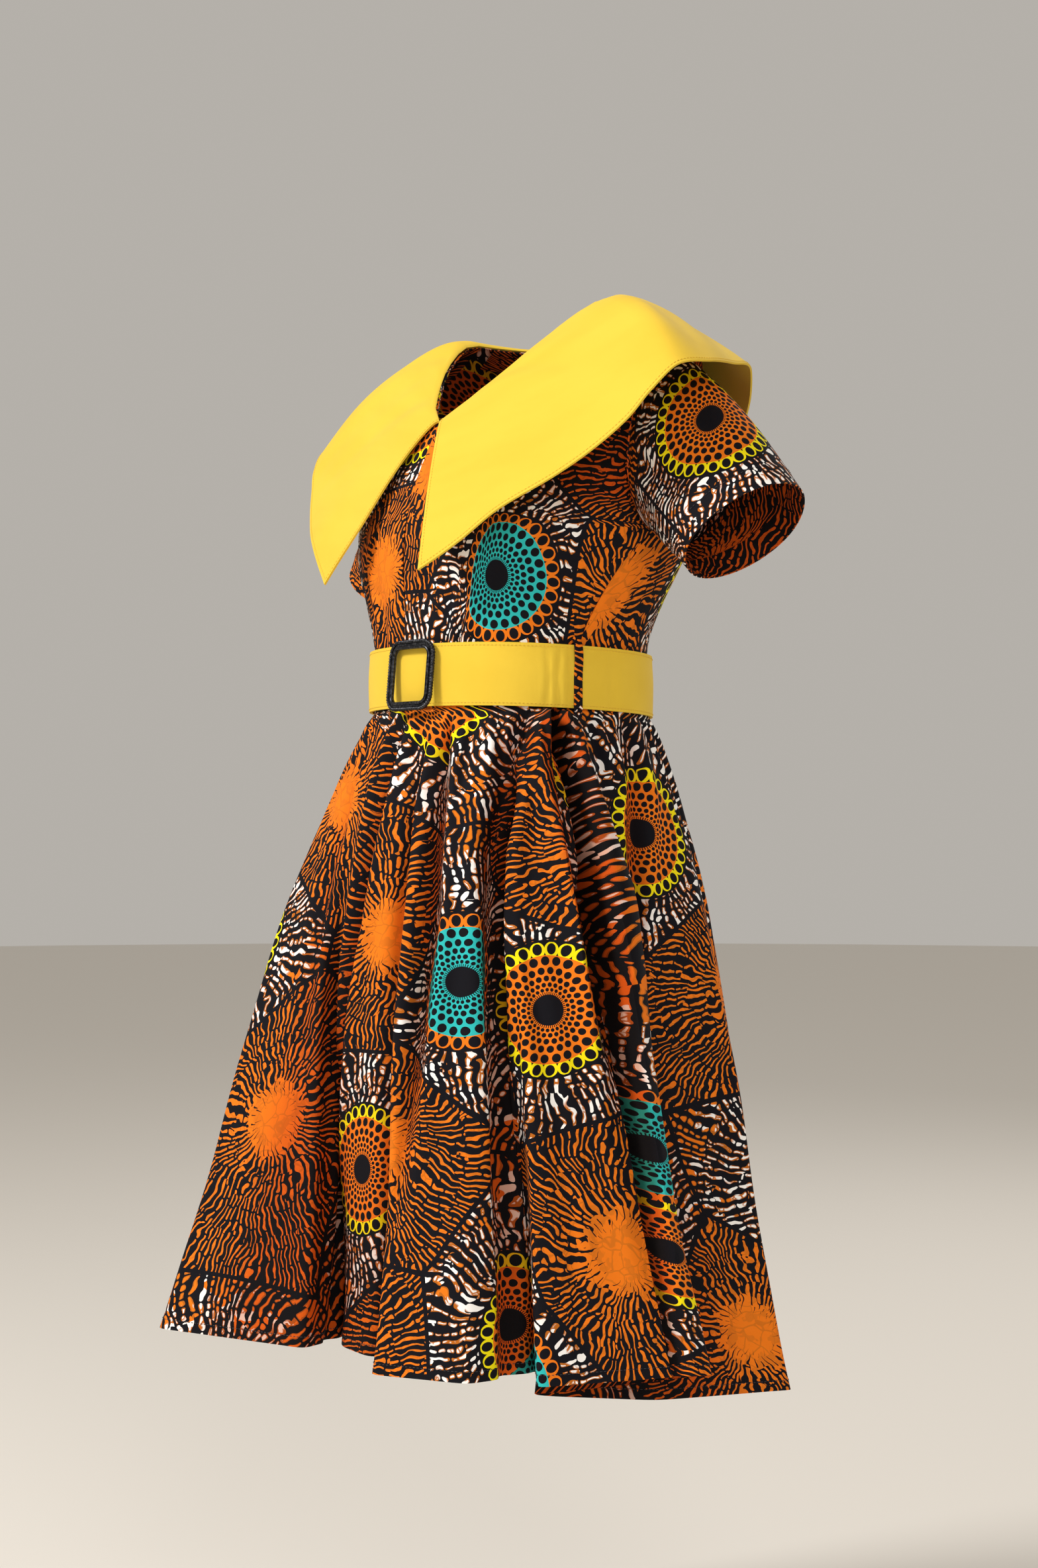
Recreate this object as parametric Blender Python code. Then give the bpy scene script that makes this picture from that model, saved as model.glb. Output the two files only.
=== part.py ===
"""Belted ankara wax print dress with a cape collar, in its worn, hollow form.

Metres, +Z up. The front faces -Y and the wearer's left is +X. The origin is
where the shoulders hold the dress: on the centre line at the height of the
side neck points. Angles round the body run from the front (0 degrees) towards
the wearer's left side (90 degrees) and the back (180 degrees).
"""

import math

import bmesh
import bpy
import numpy as np

# Driving sizes
PRINT_WALL = 0.0016
COLLAR_WALL = 0.0022
BELT_WALL = 0.0028
FACING_WALL = 0.0010
SEAM_GAP = 0.0004
WAIST_Z = -0.333
UNDERARM_Z = -0.205
SHOULDER_TIP_Z = -0.045
V_POINT_Z = -0.098
NECK_HALF_WIDTH = 0.102
BACK_NECK_DIP = 0.006
FACING_WIDTH = 0.030
BELT_WIDTH = 0.055
BELT_TILT = 0.035
BELT_TOP_Z = WAIST_Z + BELT_WIDTH / 2
BELT_BOTTOM_Z = WAIST_Z - BELT_WIDTH / 2
CARRIER_WIDTH = 0.008
CARRIER_WALL = 0.0012
BUCKLE_SIZE = (0.062, 0.063)
BUCKLE_BAR = 0.0085
BUCKLE_DEPTH = 0.0034
BUCKLE_CORNER = 0.010
BUCKLE_TILT_DEG = 5.0
BUCKLE_X = 0.024
BUCKLE_RISE = 0.004
BELT_CLEAR = 0.0016
BELT_BULGE = 0.0012
OVER_BELT_CLEAR = 0.0005
SIDE_SEAM_WAIST_DEG = 81.0

# Grid counts
SIDE_ROWS = 5
ARMHOLE_ROWS = 8
SHOULDER_ROWS = 3
FRONT_COLUMNS = 9
BACK_COLUMNS = 18
SLEEVE_RINGS = 6
COLLAR_COLUMNS = 46
COLLAR_STEPS = 8
SKIRT_COLUMNS = 136
BELT_COLUMNS = 64

# Rings of the torso: height, half width, front reach, back reach, depth of the
# widest point, and the exponent of the superellipse.
TORSO_RINGS = (
    # z, half_width, front, back, side_y, power
    (-0.390, 0.133, 0.117, 0.114, 0.000, 2.3),
    (-0.333, 0.131, 0.116, 0.112, 0.000, 2.3),
    (-0.296, 0.132, 0.1165, 0.113, 0.002, 2.3),
    (-0.257, 0.149, 0.117, 0.120, 0.008, 2.4),
    (-0.230, 0.163, 0.118, 0.126, 0.016, 2.5),
    (-0.205, 0.175, 0.117, 0.132, 0.028, 2.5),
    (-0.170, 0.182, 0.110, 0.137, 0.030, 2.5),
    (-0.130, 0.186, 0.094, 0.140, 0.030, 2.5),
    (-0.098, 0.188, 0.078, 0.139, 0.030, 2.5),
    (-0.070, 0.190, 0.055, 0.134, 0.030, 2.4),
    (-0.045, 0.190, 0.034, 0.127, 0.031, 2.4),
    (-0.022, 0.146, 0.014, 0.121, 0.033, 2.3),
    (0.000, 0.102, -0.005, 0.115, 0.034, 2.2),
)

# How far the armhole is cut in from the side line, in degrees.
ARMHOLE_CUT_FRONT = 12.0
ARMHOLE_CUT_BACK = 15.0

# Sleeve: the middle of its hem, the way it points, and the half sizes of the
# hem across and up.
SLEEVE_HEM_CENTRE = (0.263, 0.057, -0.2135)
SLEEVE_PLAN_DEG = 16.0
SLEEVE_DROP_DEG = 51.0
SLEEVE_HEM_ACROSS = 0.063
SLEEVE_HEM_UP = 0.058
SLEEVE_HEAD = 0.008
SLEEVE_SIDE_EASE = 0.006
SLEEVE_SEAM_GAP = 0.0007

# Collar: outer edge of the left wing from its tip round to the centre back,
# with the height of the roll over the neckline at the same place and how far
# the cloth arches above the straight line from the roll to the edge.
COLLAR_EDGE = (
    # share, x, y, z, roll, arch
    (0.00, 0.078, -0.153, -0.242, 0.0010, 0.006),
    (0.09, 0.118, -0.136, -0.218, 0.0030, 0.008),
    (0.16, 0.148, -0.123, -0.199, 0.0040, 0.011),
    (0.26, 0.198, -0.098, -0.173, 0.0045, 0.016),
    (0.33, 0.230, -0.080, -0.151, 0.0060, 0.020),
    (0.40, 0.255, -0.064, -0.129, 0.0070, 0.031),
    (0.47, 0.272, -0.052, -0.106, 0.0085, 0.037),
    (0.54, 0.284, -0.034, -0.085, 0.0095, 0.037),
    (0.62, 0.280, 0.006, -0.076, 0.0085, 0.018),
    (0.70, 0.256, 0.050, -0.070, 0.0070, 0.008),
    (0.78, 0.230, 0.094, -0.067, 0.0070, 0.005),
    (0.84, 0.190, 0.125, -0.088, 0.0110, 0.014),
    (0.90, 0.130, 0.151, -0.118, 0.0130, 0.013),
    (0.95, 0.065, 0.162, -0.134, 0.0140, 0.012),
    (1.00, 0.000, 0.165, -0.139, 0.0150, 0.012),
)
COLLAR_FOOT_UP = 0.0012
COLLAR_FOOT_OUT = 0.0006
COLLAR_CROWN_UP = 0.004
COLLAR_CROWN_OUT = 0.010
COLLAR_FALL_SHARE = 0.62

# Skirt: the plain flared form that the folds stand on.
HEM_HALF_WIDTH = 0.252
HEM_FRONT = 0.262
HEM_BACK = 0.250
HIP_FULLNESS = 1.12
FOLD_ROUNDING = 0.010
CREST_BEFORE = 0.18
CREST_AFTER = 0.25
VALLEY_AFTER = 0.55
VALLEY_HEM_SHARE = 0.9
FOLD_DELAY = 0.6
FOLD_POWER = 1.05

# Folds of the skirt at the hem, from the right side seam round the front, the
# left side and the back. Each row has the waist angle of its crest, then the
# two edges of the crest and the bottom of the valley after it (metres), then
# the height of its hem and the share of the skirt's length where it starts.
FOLDS = (
    # name, waist_deg, left_x, left_y, right_x, right_y, valley_x, valley_y, hem_z, start
    ("right_side", -88, -0.285, -0.040, -0.272, -0.088, -0.236, -0.108, -0.932, 0.15),
    ("right_front", -64, -0.256, -0.150, -0.228, -0.196, -0.196, -0.204, -0.922, 0.25),
    ("front_a", -36, -0.158, -0.284, -0.008, -0.214, -0.050, -0.146, -0.917, 0.02),
    ("front_inner", 2, -0.014, -0.174, 0.040, -0.176, 0.052, -0.122, -0.921, 0.02),
    ("front_b", 32, 0.093, -0.213, 0.172, -0.162, 0.158, -0.082, -0.920, 0.06),
    ("side_c", 64, 0.206, -0.120, 0.254, 0.034, 0.110, -0.058, -0.922, 0.14),
    ("side_d", 112, 0.176, 0.030, 0.215, 0.158, 0.150, 0.160, -0.960, 0.20),
    ("back_left", 140, 0.128, 0.206, 0.072, 0.246, 0.034, 0.214, -0.968, 0.15),
    ("back_mid", 172, 0.000, 0.250, -0.052, 0.258, -0.082, 0.212, -0.972, 0.20),
    ("back_right", 205, -0.118, 0.238, -0.168, 0.214, -0.176, 0.166, -0.966, 0.15),
    ("right_back", 236, -0.222, 0.166, -0.248, 0.116, -0.222, 0.082, -0.952, 0.20),
)
LEFT_SEAM_SHARE = 0.72
RIGHT_SEAM_XY = (-0.262, 0.020)
SKIRT_ROWS = (0.0, 0.05, 0.12, 0.20, 0.29, 0.39, 0.50, 0.62, 0.74, 0.87, 1.0)

# Left pocket in the side seam: heights of its mouth and size of its bag.
POCKET_TOP_Z = -0.392
POCKET_BOTTOM_Z = -0.512
POCKET_FRONT_OUT = 0.010
POCKET_BACK_IN = 0.018
POCKET_FADE_COLUMNS = 6
POCKET_RINGS = 8
POCKET_RING_POINTS = 16
POCKET_MOUTH_COLUMNS = 0.25
POCKET_BAG_COLUMNS = 7
POCKET_MOUTH_SHARE = 0.86
POCKET_END_SHARE = 0.80
POCKET_DROP = 0.035
POCKET_SWELL = 0.030
POCKET_HALF_MOUTH = 0.0136
POCKET_HALF_END = 0.0030
POCKET_CLEAR = 0.0013

# Colours (linear) and finishes: name, red, green, blue, roughness, metallic
FINISHES = {
    "print_cotton": (0.42, 0.13, 0.03, 0.85, 0.0),
    "plain_cotton": (1.00, 0.72, 0.04, 0.85, 0.0),
    "gunmetal": (0.06, 0.06, 0.065, 0.35, 1.0),
}


def clear_scene():
    for item in list(bpy.data.objects):
        bpy.data.objects.remove(item, do_unlink=True)


def material(name):
    found = bpy.data.materials.get(name)
    if found:
        return found
    red, green, blue, roughness, metallic = FINISHES[name]
    made = bpy.data.materials.new(name)
    made.use_nodes = True
    shader = made.node_tree.nodes["Principled BSDF"]
    shader.inputs["Base Color"].default_value = (red, green, blue, 1.0)
    shader.inputs["Roughness"].default_value = roughness
    shader.inputs["Metallic"].default_value = metallic
    return made


def smooth_table(rows, key):
    """Values of a table at a place between its rows, on smooth curves."""
    table = np.array(rows, dtype=float)
    places = table[:, 0]
    key = float(np.clip(key, places[0], places[-1]))
    slopes = np.gradient(table[:, 1:], places, axis=0)
    index = int(np.clip(np.searchsorted(places, key) - 1, 0, len(places) - 2))
    span = places[index + 1] - places[index]
    part = (key - places[index]) / span
    start, end = table[index, 1:], table[index + 1, 1:]
    rise, fall = slopes[index] * span, slopes[index + 1] * span
    return (
        (2 * part**3 - 3 * part**2 + 1) * start
        + (part**3 - 2 * part**2 + part) * rise
        + (3 * part**2 - 2 * part**3) * end
        + (part**3 - part**2) * fall
    )


def signed_power(value, power):
    return math.copysign(abs(value) ** power, value)


def torso_point(degrees, height):
    """A point of the bodice's outer face at an angle and a height."""
    half_width, front, back, side_y, power = smooth_table(TORSO_RINGS, height)
    angle = math.radians(degrees)
    across = half_width * signed_power(math.sin(angle), 2 / power)
    reach = front + side_y if math.cos(angle) > 0 else back - side_y
    along = side_y - reach * signed_power(math.cos(angle), 2 / power)
    return np.array((across, along, height))


def torso_normal(degrees, height):
    step_deg, step_z = 1.5, 0.004
    round_body = torso_point(degrees + step_deg, height) - torso_point(degrees - step_deg, height)
    up_body = torso_point(degrees, height + step_z) - torso_point(degrees, height - step_z)
    normal = np.cross(round_body, up_body)
    return normal / np.linalg.norm(normal)


def mirror_x(points):
    return np.array(points) * np.array((-1.0, 1.0, 1.0))


def grid_normals(grid, closed):
    """Unit normals of a grid of points, to the left of its rows seen from above."""
    if closed:
        along = np.roll(grid, -1, axis=1) - np.roll(grid, 1, axis=1)
    else:
        along = np.gradient(grid, axis=1)
    up = np.gradient(grid, axis=0)
    normals = np.cross(along, up)
    lengths = np.linalg.norm(normals, axis=2, keepdims=True)
    return normals / np.maximum(lengths, 1e-12)


def add_object(name, vertices, faces, finish):
    """One closed solid, its faces turned outwards."""
    mesh = bpy.data.meshes.new(name)
    mesh.from_pydata([tuple(point) for point in vertices], [], faces)
    body = bmesh.new()
    body.from_mesh(mesh)
    bmesh.ops.triangulate(body, faces=body.faces[:])
    bmesh.ops.recalc_face_normals(body, faces=body.faces[:])
    body.to_mesh(mesh)
    body.free()
    mesh.materials.append(material(finish))
    made = bpy.data.objects.new(name, mesh)
    bpy.context.scene.collection.objects.link(made)
    mesh.shade_smooth()
    mesh.set_sharp_from_angle(angle=math.radians(40))
    return made


def wall(name, outer, inner, finish, closed=False):
    """A cloth wall between two grids of points, closed along its edges."""
    outer, inner = np.array(outer), np.array(inner)
    rows, columns = outer.shape[:2]
    vertices = np.concatenate((outer.reshape(-1, 3), inner.reshape(-1, 3)))
    offset = rows * columns

    def at(layer, row, column):
        return layer * offset + row * columns + column % columns

    faces = []
    spans = columns if closed else columns - 1
    for row in range(rows - 1):
        for column in range(spans):
            quad = [(row, column), (row, column + 1), (row + 1, column + 1), (row + 1, column)]
            faces.append([at(0, *corner) for corner in quad])
            faces.append([at(1, *corner) for corner in reversed(quad)])
    for column in range(spans):
        faces.append([at(1, 0, column), at(1, 0, column + 1), at(0, 0, column + 1), at(0, 0, column)])
        top = rows - 1
        faces.append([at(0, top, column), at(0, top, column + 1), at(1, top, column + 1), at(1, top, column)])
    if not closed:
        last = columns - 1
        for row in range(rows - 1):
            faces.append([at(0, row, 0), at(0, row + 1, 0), at(1, row + 1, 0), at(1, row, 0)])
            faces.append([at(1, row, last), at(1, row + 1, last), at(0, row + 1, last), at(0, row, last)])
    return add_object(name, vertices, faces, finish)


# Bodice

def armhole_place(step, front):
    """Angle and height of the left armhole's edge, from underarm to shoulder tip."""
    share = (1 - math.cos(math.pi * step / ARMHOLE_ROWS)) / 2
    height = UNDERARM_Z + (SHOULDER_TIP_Z - UNDERARM_Z) * share
    cut = math.sin(math.pi * share) ** 0.6 if 0 < step < ARMHOLE_ROWS else 0.0
    if front:
        return 90 - ARMHOLE_CUT_FRONT * cut, height
    return 90 + ARMHOLE_CUT_BACK * cut, height


def outer_places(front):
    """Where each bodice row meets the side seam, the armhole and the shoulder seam."""
    places = []
    for row in range(SIDE_ROWS):
        share = row / SIDE_ROWS
        degrees = SIDE_SEAM_WAIST_DEG + (90 - SIDE_SEAM_WAIST_DEG) * share
        places.append((degrees, WAIST_Z + (UNDERARM_Z - WAIST_Z) * share))
    for step in range(ARMHOLE_ROWS + 1):
        places.append(armhole_place(step, front))
    for row in range(1, SHOULDER_ROWS + 1):
        places.append((90.0, SHOULDER_TIP_Z * (1 - row / SHOULDER_ROWS)))
    return places


def front_neck_angle(height):
    """Angle of the V neckline's edge at a height."""
    half_width, _, _, _, power = smooth_table(TORSO_RINGS, height)
    share = max(0.0, (height - V_POINT_Z) / -V_POINT_Z)
    across = NECK_HALF_WIDTH * share**0.75
    ratio = min(0.995, across / half_width)
    return math.degrees(math.asin(ratio ** (power / 2)))


def front_inner_places():
    """Where each front row meets the centre seam and then the neckline."""
    count = SIDE_ROWS + ARMHOLE_ROWS + SHOULDER_ROWS
    centre_rows = 9
    places = []
    for row in range(centre_rows + 1):
        places.append((0.0, WAIST_Z + (V_POINT_Z - WAIST_Z) * row / centre_rows))
    for row in range(1, count - centre_rows + 1):
        share = row / (count - centre_rows)
        height = V_POINT_Z * (1 - share**0.9)
        if share == 1:
            height = -0.004
        places.append((front_neck_angle(height), height))
    return places


def bodice_sheets(places):
    """Outer and inner faces of a bodice panel from the places of its points."""
    outer, inner = [], []
    for row in places:
        points = np.array([torso_point(*place) for place in row])
        normals = np.array([torso_normal(*place) for place in row])
        outer.append(points)
        inner.append(points - normals * PRINT_WALL)
    return np.array(outer), np.array(inner)


def shift_inside(place, toward, distance):
    """A place moved along the cloth towards another place by a distance."""
    here, there = torso_point(*place), torso_point(*toward)
    length = max(np.linalg.norm(there - here), 1e-6)
    share = min(0.45, distance / length)
    return tuple(a + (b - a) * share for a, b in zip(place, toward))


def row_places(start, end, columns):
    """Places along one row, drawn in at both ends for the seams."""
    first = shift_inside(start, end, SEAM_GAP / 2)
    last = shift_inside(end, start, SEAM_GAP / 2)
    return [
        tuple(a + (b - a) * column / columns for a, b in zip(first, last))
        for column in range(columns + 1)
    ]


def lift_waist(places):
    """The lowest row raised clear of the waist seam."""
    raised = [(degrees, height + SEAM_GAP / 2) for degrees, height in places[0]]
    return [raised] + places[1:]


def bodice_front_places():
    inner, outer = front_inner_places(), outer_places(True)
    return lift_waist([row_places(a, b, FRONT_COLUMNS) for a, b in zip(inner, outer)])


def back_neck_height(degrees):
    """Height of the back neckline, lowest at the centre."""
    return -BACK_NECK_DIP * math.cos(math.radians(degrees - 180)) ** 2


def bodice_back_places():
    outer = outer_places(False)
    count = len(outer)
    rows = []
    for row, (side_deg, side_z) in enumerate(outer):
        middle_z = WAIST_Z + (0.0 - WAIST_Z) * row / (count - 1)
        ends = ((side_deg, side_z), (360 - side_deg, side_z))
        first = shift_inside(ends[0], (180.0, middle_z), SEAM_GAP / 2)
        places = []
        for column in range(BACK_COLUMNS + 1):
            share = column / BACK_COLUMNS
            degrees = first[0] + (360 - 2 * first[0]) * share
            inward = 1 - abs(2 * share - 1)
            blend = inward * inward * (3 - 2 * inward)
            height = side_z + (middle_z - side_z) * blend
            if row == count - 1:
                height = back_neck_height(degrees)
            places.append((degrees, height))
        rows.append(places)
    return lift_waist(rows)


def build_bodice():
    front_outer, front_inner = bodice_sheets(bodice_front_places())
    wall("bodice_front_left", front_outer, front_inner, "print_cotton")
    wall("bodice_front_right", mirror_x(front_outer), mirror_x(front_inner), "print_cotton")
    back_outer, back_inner = bodice_sheets(bodice_back_places())
    wall("bodice_back", back_outer, back_inner, "print_cotton")


# Neck facing, which shows inside the neckline

def facing_sheet(places, widths):
    """A strip laid inside the bodice wall from the neckline in."""
    steps = 3
    outer, inner = [], []
    inset = PRINT_WALL + SEAM_GAP
    for (start, toward), width in zip(places, widths):
        length = np.linalg.norm(torso_point(*toward) - torso_point(*start))
        reach = min(width, length * 0.9) / length
        line_out, line_in = [], []
        for step in range(steps + 1):
            share = reach * step / steps
            place = tuple(a + (b - a) * share for a, b in zip(start, toward))
            point, normal = torso_point(*place), torso_normal(*place)
            line_out.append(point - normal * inset)
            line_in.append(point - normal * (inset + FACING_WALL))
        outer.append(line_out)
        inner.append(line_in)
    return np.array(outer).swapaxes(0, 1), np.array(inner).swapaxes(0, 1)


def build_facings():
    rows = bodice_front_places()[9:-1]
    ends = [(row[0], row[-1]) for row in rows]
    outer, inner = facing_sheet(ends, [FACING_WIDTH] * len(ends))
    wall("neck_facing_front_left", outer, inner, "print_cotton")
    wall("neck_facing_front_right", mirror_x(outer), mirror_x(inner), "print_cotton")
    grid = bodice_back_places()
    top, low = grid[-1][1:-1], grid[-3][1:-1]
    outer, inner = facing_sheet(list(zip(top, low)), [FACING_WIDTH] * len(top))
    wall("neck_facing_back", outer, inner, "print_cotton")


# Sleeves

def sleeve_axes():
    """The way the sleeve points, and the two directions across its hem."""
    plan, drop = math.radians(SLEEVE_PLAN_DEG), math.radians(SLEEVE_DROP_DEG)
    pointing = np.array((
        math.cos(plan) * math.cos(drop), math.sin(plan) * math.cos(drop), -math.sin(drop)))
    across = np.array((-math.sin(plan), math.cos(plan), 0.0))
    up = np.cross(pointing, across)
    return pointing, across, up


def sleeve_outline():
    """The left armhole's edge, up the front and down the back."""
    front = [torso_point(*armhole_place(step, True)) for step in range(ARMHOLE_ROWS + 1)]
    back = [torso_point(*armhole_place(step, False)) for step in range(ARMHOLE_ROWS - 1, 0, -1)]
    return np.array(front + back)


def build_sleeves():
    pointing, across, up = sleeve_axes()
    edge = sleeve_outline()
    count = len(edge)
    turns = np.array([2 * math.pi * index / count for index in range(count)])
    hem = np.array(SLEEVE_HEM_CENTRE) + np.array([
        -SLEEVE_HEM_UP * math.cos(turn) * up - SLEEVE_HEM_ACROSS * math.sin(turn) * across
        for turn in turns])
    grid = []
    for ring in range(SLEEVE_RINGS + 1):
        share = ring / SLEEVE_RINGS
        ease = math.sin(math.pi * share**0.75)
        top = (1 - np.cos(turns)) / 2
        lift = (top**1.5 * ease * SLEEVE_HEAD)[:, None] * (up * 0.8 + pointing * 0.2)
        side = (np.sin(turns) ** 2 * ease * SLEEVE_SIDE_EASE * np.sign(np.sin(turns)))[:, None] * -across
        start = edge + pointing * SLEEVE_SEAM_GAP
        grid.append(start + (hem - start) * share + lift + side)
    grid = np.array(grid)
    normals = -grid_normals(grid, True)
    middle = grid.mean(axis=1, keepdims=True)
    if np.sum(normals * (grid - middle)) < 0:
        normals = -normals
    inner = grid - normals * PRINT_WALL
    wall("sleeve_left", grid, inner, "print_cotton", closed=True)
    wall("sleeve_right", mirror_x(grid), mirror_x(inner), "print_cotton", closed=True)


# Collar

def neckline_points():
    """The neckline's edge from the V point to the centre back."""
    front = [torso_point(*row[0]) for row in bodice_front_places()[9:]]
    back_row = bodice_back_places()[-1]
    back = [torso_point(*place) for place in back_row[:BACK_COLUMNS // 2 + 1]]
    return np.array(front + back)


def along_path(points, shares):
    """Points at given shares of a path's length."""
    steps = np.linalg.norm(np.diff(points, axis=0), axis=1)
    places = np.concatenate(([0.0], np.cumsum(steps)))
    places = places / places[-1]
    return np.array([[np.interp(share, places, points[:, axis]) for axis in range(3)]
                     for share in shares])


def collar_half():
    """Outer face of the left wing: a column of points for each place along it."""
    shares = np.linspace(0.0, 1.0, COLLAR_COLUMNS // 2 + 1)
    neck = along_path(neckline_points(), shares)
    lines = []
    for share, start in zip(shares, neck):
        x, y, z, roll, arch = smooth_table(COLLAR_EDGE, share)
        edge = np.array((x, y, z))
        sideways = edge - start
        sideways[2] = 0.0
        sideways = sideways / np.linalg.norm(sideways)
        foot = start + np.array((0.0, 0.0, COLLAR_FOOT_UP)) + sideways * COLLAR_FOOT_OUT
        crown_up = np.array((0.0, 0.0, roll * 2.0 + COLLAR_CROWN_UP))
        crown = start + crown_up + sideways * (COLLAR_CROWN_OUT + roll * 0.5)
        fall = crown + (edge - crown) * COLLAR_FALL_SHARE + np.array((0.0, 0.0, arch))
        line = []
        for step in range(COLLAR_STEPS + 1):
            part = (step / COLLAR_STEPS) ** 1.25
            line.append(
                (1 - part) ** 3 * foot + 3 * part * (1 - part) ** 2 * crown
                + 3 * part**2 * (1 - part) * fall + part**3 * edge)
        lines.append(line)
    return np.array(lines)


def build_collar():
    left = collar_half()
    left[0, :, 0] += SEAM_GAP / 2
    right = mirror_x(left)[::-1]
    grid = np.concatenate((left, right[1:])).swapaxes(0, 1)
    normals = grid_normals(grid, False)
    if normals[COLLAR_STEPS // 2, COLLAR_COLUMNS // 4, 2] < 0:
        normals = -normals
    inner = grid - normals * COLLAR_WALL
    inner[0] = grid[0] - normals[0] * COLLAR_WALL * np.array((1.0, 1.0, 0.0))
    half = COLLAR_COLUMNS // 2
    inner[:, :half, 0] = np.maximum(inner[:, :half, 0], SEAM_GAP / 2)
    inner[:, half + 1:, 0] = np.minimum(inner[:, half + 1:, 0], -SEAM_GAP / 2)
    wall("collar", grid, inner, "plain_cotton")


# Skirt

def hem_base(degrees):
    """The plain flared hem, without its folds."""
    angle = math.radians(degrees)
    reach = HEM_FRONT if math.cos(angle) > 0 else HEM_BACK
    return np.array((HEM_HALF_WIDTH * math.sin(angle), -reach * math.cos(angle)))


def fold_corners():
    """Corners of the hem in order: waist angle, x, y, height and fold start."""
    corners = []
    count = len(FOLDS)
    for index, row in enumerate(FOLDS):
        _, waist, left_x, left_y, right_x, right_y, valley_x, valley_y, hem_z, start = row
        following = FOLDS[(index + 1) % count]
        next_waist = following[1] + (360 if index == count - 1 else 0)
        step = next_waist - waist
        next_z = following[8]
        corners.append((waist - CREST_BEFORE * step, left_x, left_y, hem_z, start))
        corners.append((waist + CREST_AFTER * step, right_x, right_y, hem_z, start))
        valley_z = hem_z + (next_z - hem_z) * VALLEY_HEM_SHARE
        corners.append((waist + VALLEY_AFTER * step, valley_x, valley_y, valley_z, start))
    return np.array(corners)


def skirt_columns():
    """For each column of the skirt, its place along the corners of the hem."""
    corners = fold_corners()
    count = len(corners)
    ends = np.roll(corners, -1, axis=0)
    lengths = np.linalg.norm(ends[:, 1:3] - corners[:, 1:3], axis=1)
    places = np.concatenate(([0.0], np.cumsum(lengths)))
    fine = SKIRT_COLUMNS * 4
    spots = np.arange(fine) / fine * places[-1]
    segment = np.clip(np.searchsorted(places, spots, side="right") - 1, 0, count - 1)
    part = (spots - places[segment]) / lengths[segment]
    starts = corners[segment]
    stops = ends[segment].copy()
    stops[:, 0] = np.where(segment == count - 1, stops[:, 0] + 360, stops[:, 0])
    return starts + (stops - starts) * part[:, None], places[-1] / fine


def round_off(values, reach):
    """A moving average round a closed line, to round its corners."""
    total = np.zeros_like(values)
    weight = 0.0
    for step in range(-reach, reach + 1):
        share = math.cos(0.5 * math.pi * step / (reach + 1)) ** 2
        total += np.roll(values, step, axis=0) * share
        weight += share
    return total / weight


def skirt_grid():
    """Outer face of the whole skirt: a closed ring of points for each height."""
    data, spacing = skirt_columns()
    reach = max(2, int(round(2 * FOLD_ROUNDING / spacing)))
    waist = np.array([torso_point(row[0], BELT_BOTTOM_Z) for row in data])
    base = np.array([hem_base(row[0]) for row in data])
    heights = round_off(data[:, 3:4], reach * 2)[:, 0]
    rings = [waist.copy()]
    rings[0][:, 2] = WAIST_Z - SEAM_GAP / 2
    for share in SKIRT_ROWS:
        spread = share + HIP_FULLNESS * share * (1 - share) ** 2
        start = data[:, 4] * FOLD_DELAY
        grown = np.clip((share - start) / (1 - start), 0.0, 1.0) ** FOLD_POWER
        flared = waist[:, :2] + (base - waist[:, :2]) * spread
        flat = flared + (data[:, 1:3] - base) * grown[:, None]
        top = BELT_BOTTOM_Z - 0.001 + belt_shift(waist.T)
        ring = np.column_stack((flat, top + (heights - top) * share))
        rings.append(ring)
    rounded = [round_off(ring, reach) if index > 1 else ring for index, ring in enumerate(rings)]
    return np.array([ring[::4] for ring in rounded])


def seam_columns(grid):
    """Columns of the right and left side seams."""
    hem = grid[-1, :, :2]
    right = int(np.argmin(np.linalg.norm(hem - np.array(RIGHT_SEAM_XY), axis=1)))
    fold = next(row for row in FOLDS if row[0] == "side_c")
    share = LEFT_SEAM_SHARE
    spot = np.array((fold[2] + (fold[4] - fold[2]) * share, fold[3] + (fold[5] - fold[3]) * share))
    left = int(np.argmin(np.linalg.norm(hem - spot, axis=1)))
    return right, left


def mouth_share(height):
    """How far the pocket's mouth gapes at a height, from 0 to 1."""
    middle = (POCKET_TOP_Z + POCKET_BOTTOM_Z) / 2
    half = (POCKET_TOP_Z - POCKET_BOTTOM_Z) / 2
    ratio = (height - middle) / half
    return max(0.0, 1 - ratio * ratio)


def build_skirt():
    grid = skirt_grid()
    normals = grid_normals(grid, True)
    if np.sum(normals[-1] * grid[-1]) < 0:
        normals = -normals
    right, left = seam_columns(grid)
    front_count = (left - right) % SKIRT_COLUMNS
    back_count = SKIRT_COLUMNS - front_count
    front_columns = [(right + step) % SKIRT_COLUMNS for step in range(front_count + 1)]
    back_columns = [(left + step) % SKIRT_COLUMNS for step in range(back_count + 1)]
    for name, columns, mouth_end, gape in (
        ("skirt_front", front_columns, -1, POCKET_FRONT_OUT),
        ("skirt_back", back_columns, 0, -POCKET_BACK_IN),
    ):
        outer = grid[:, columns].copy()
        facing = normals[:, columns]
        for end, neighbour in ((0, 1), (-1, -2)):
            along = outer[:, neighbour] - outer[:, end]
            outer[:, end] += along / np.linalg.norm(along, axis=1, keepdims=True) * SEAM_GAP / 2
        for offset in range(POCKET_FADE_COLUMNS):
            column = offset if mouth_end == 0 else -1 - offset
            weight = (1 - offset / POCKET_FADE_COLUMNS) ** 2
            for row in range(len(outer)):
                push = gape * weight * mouth_share(outer[row, column, 2])
                outer[row, column] += facing[row, column] * push
        wall(name, outer, outer - facing * PRINT_WALL, "print_cotton")
    return grid, normals, left


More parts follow.
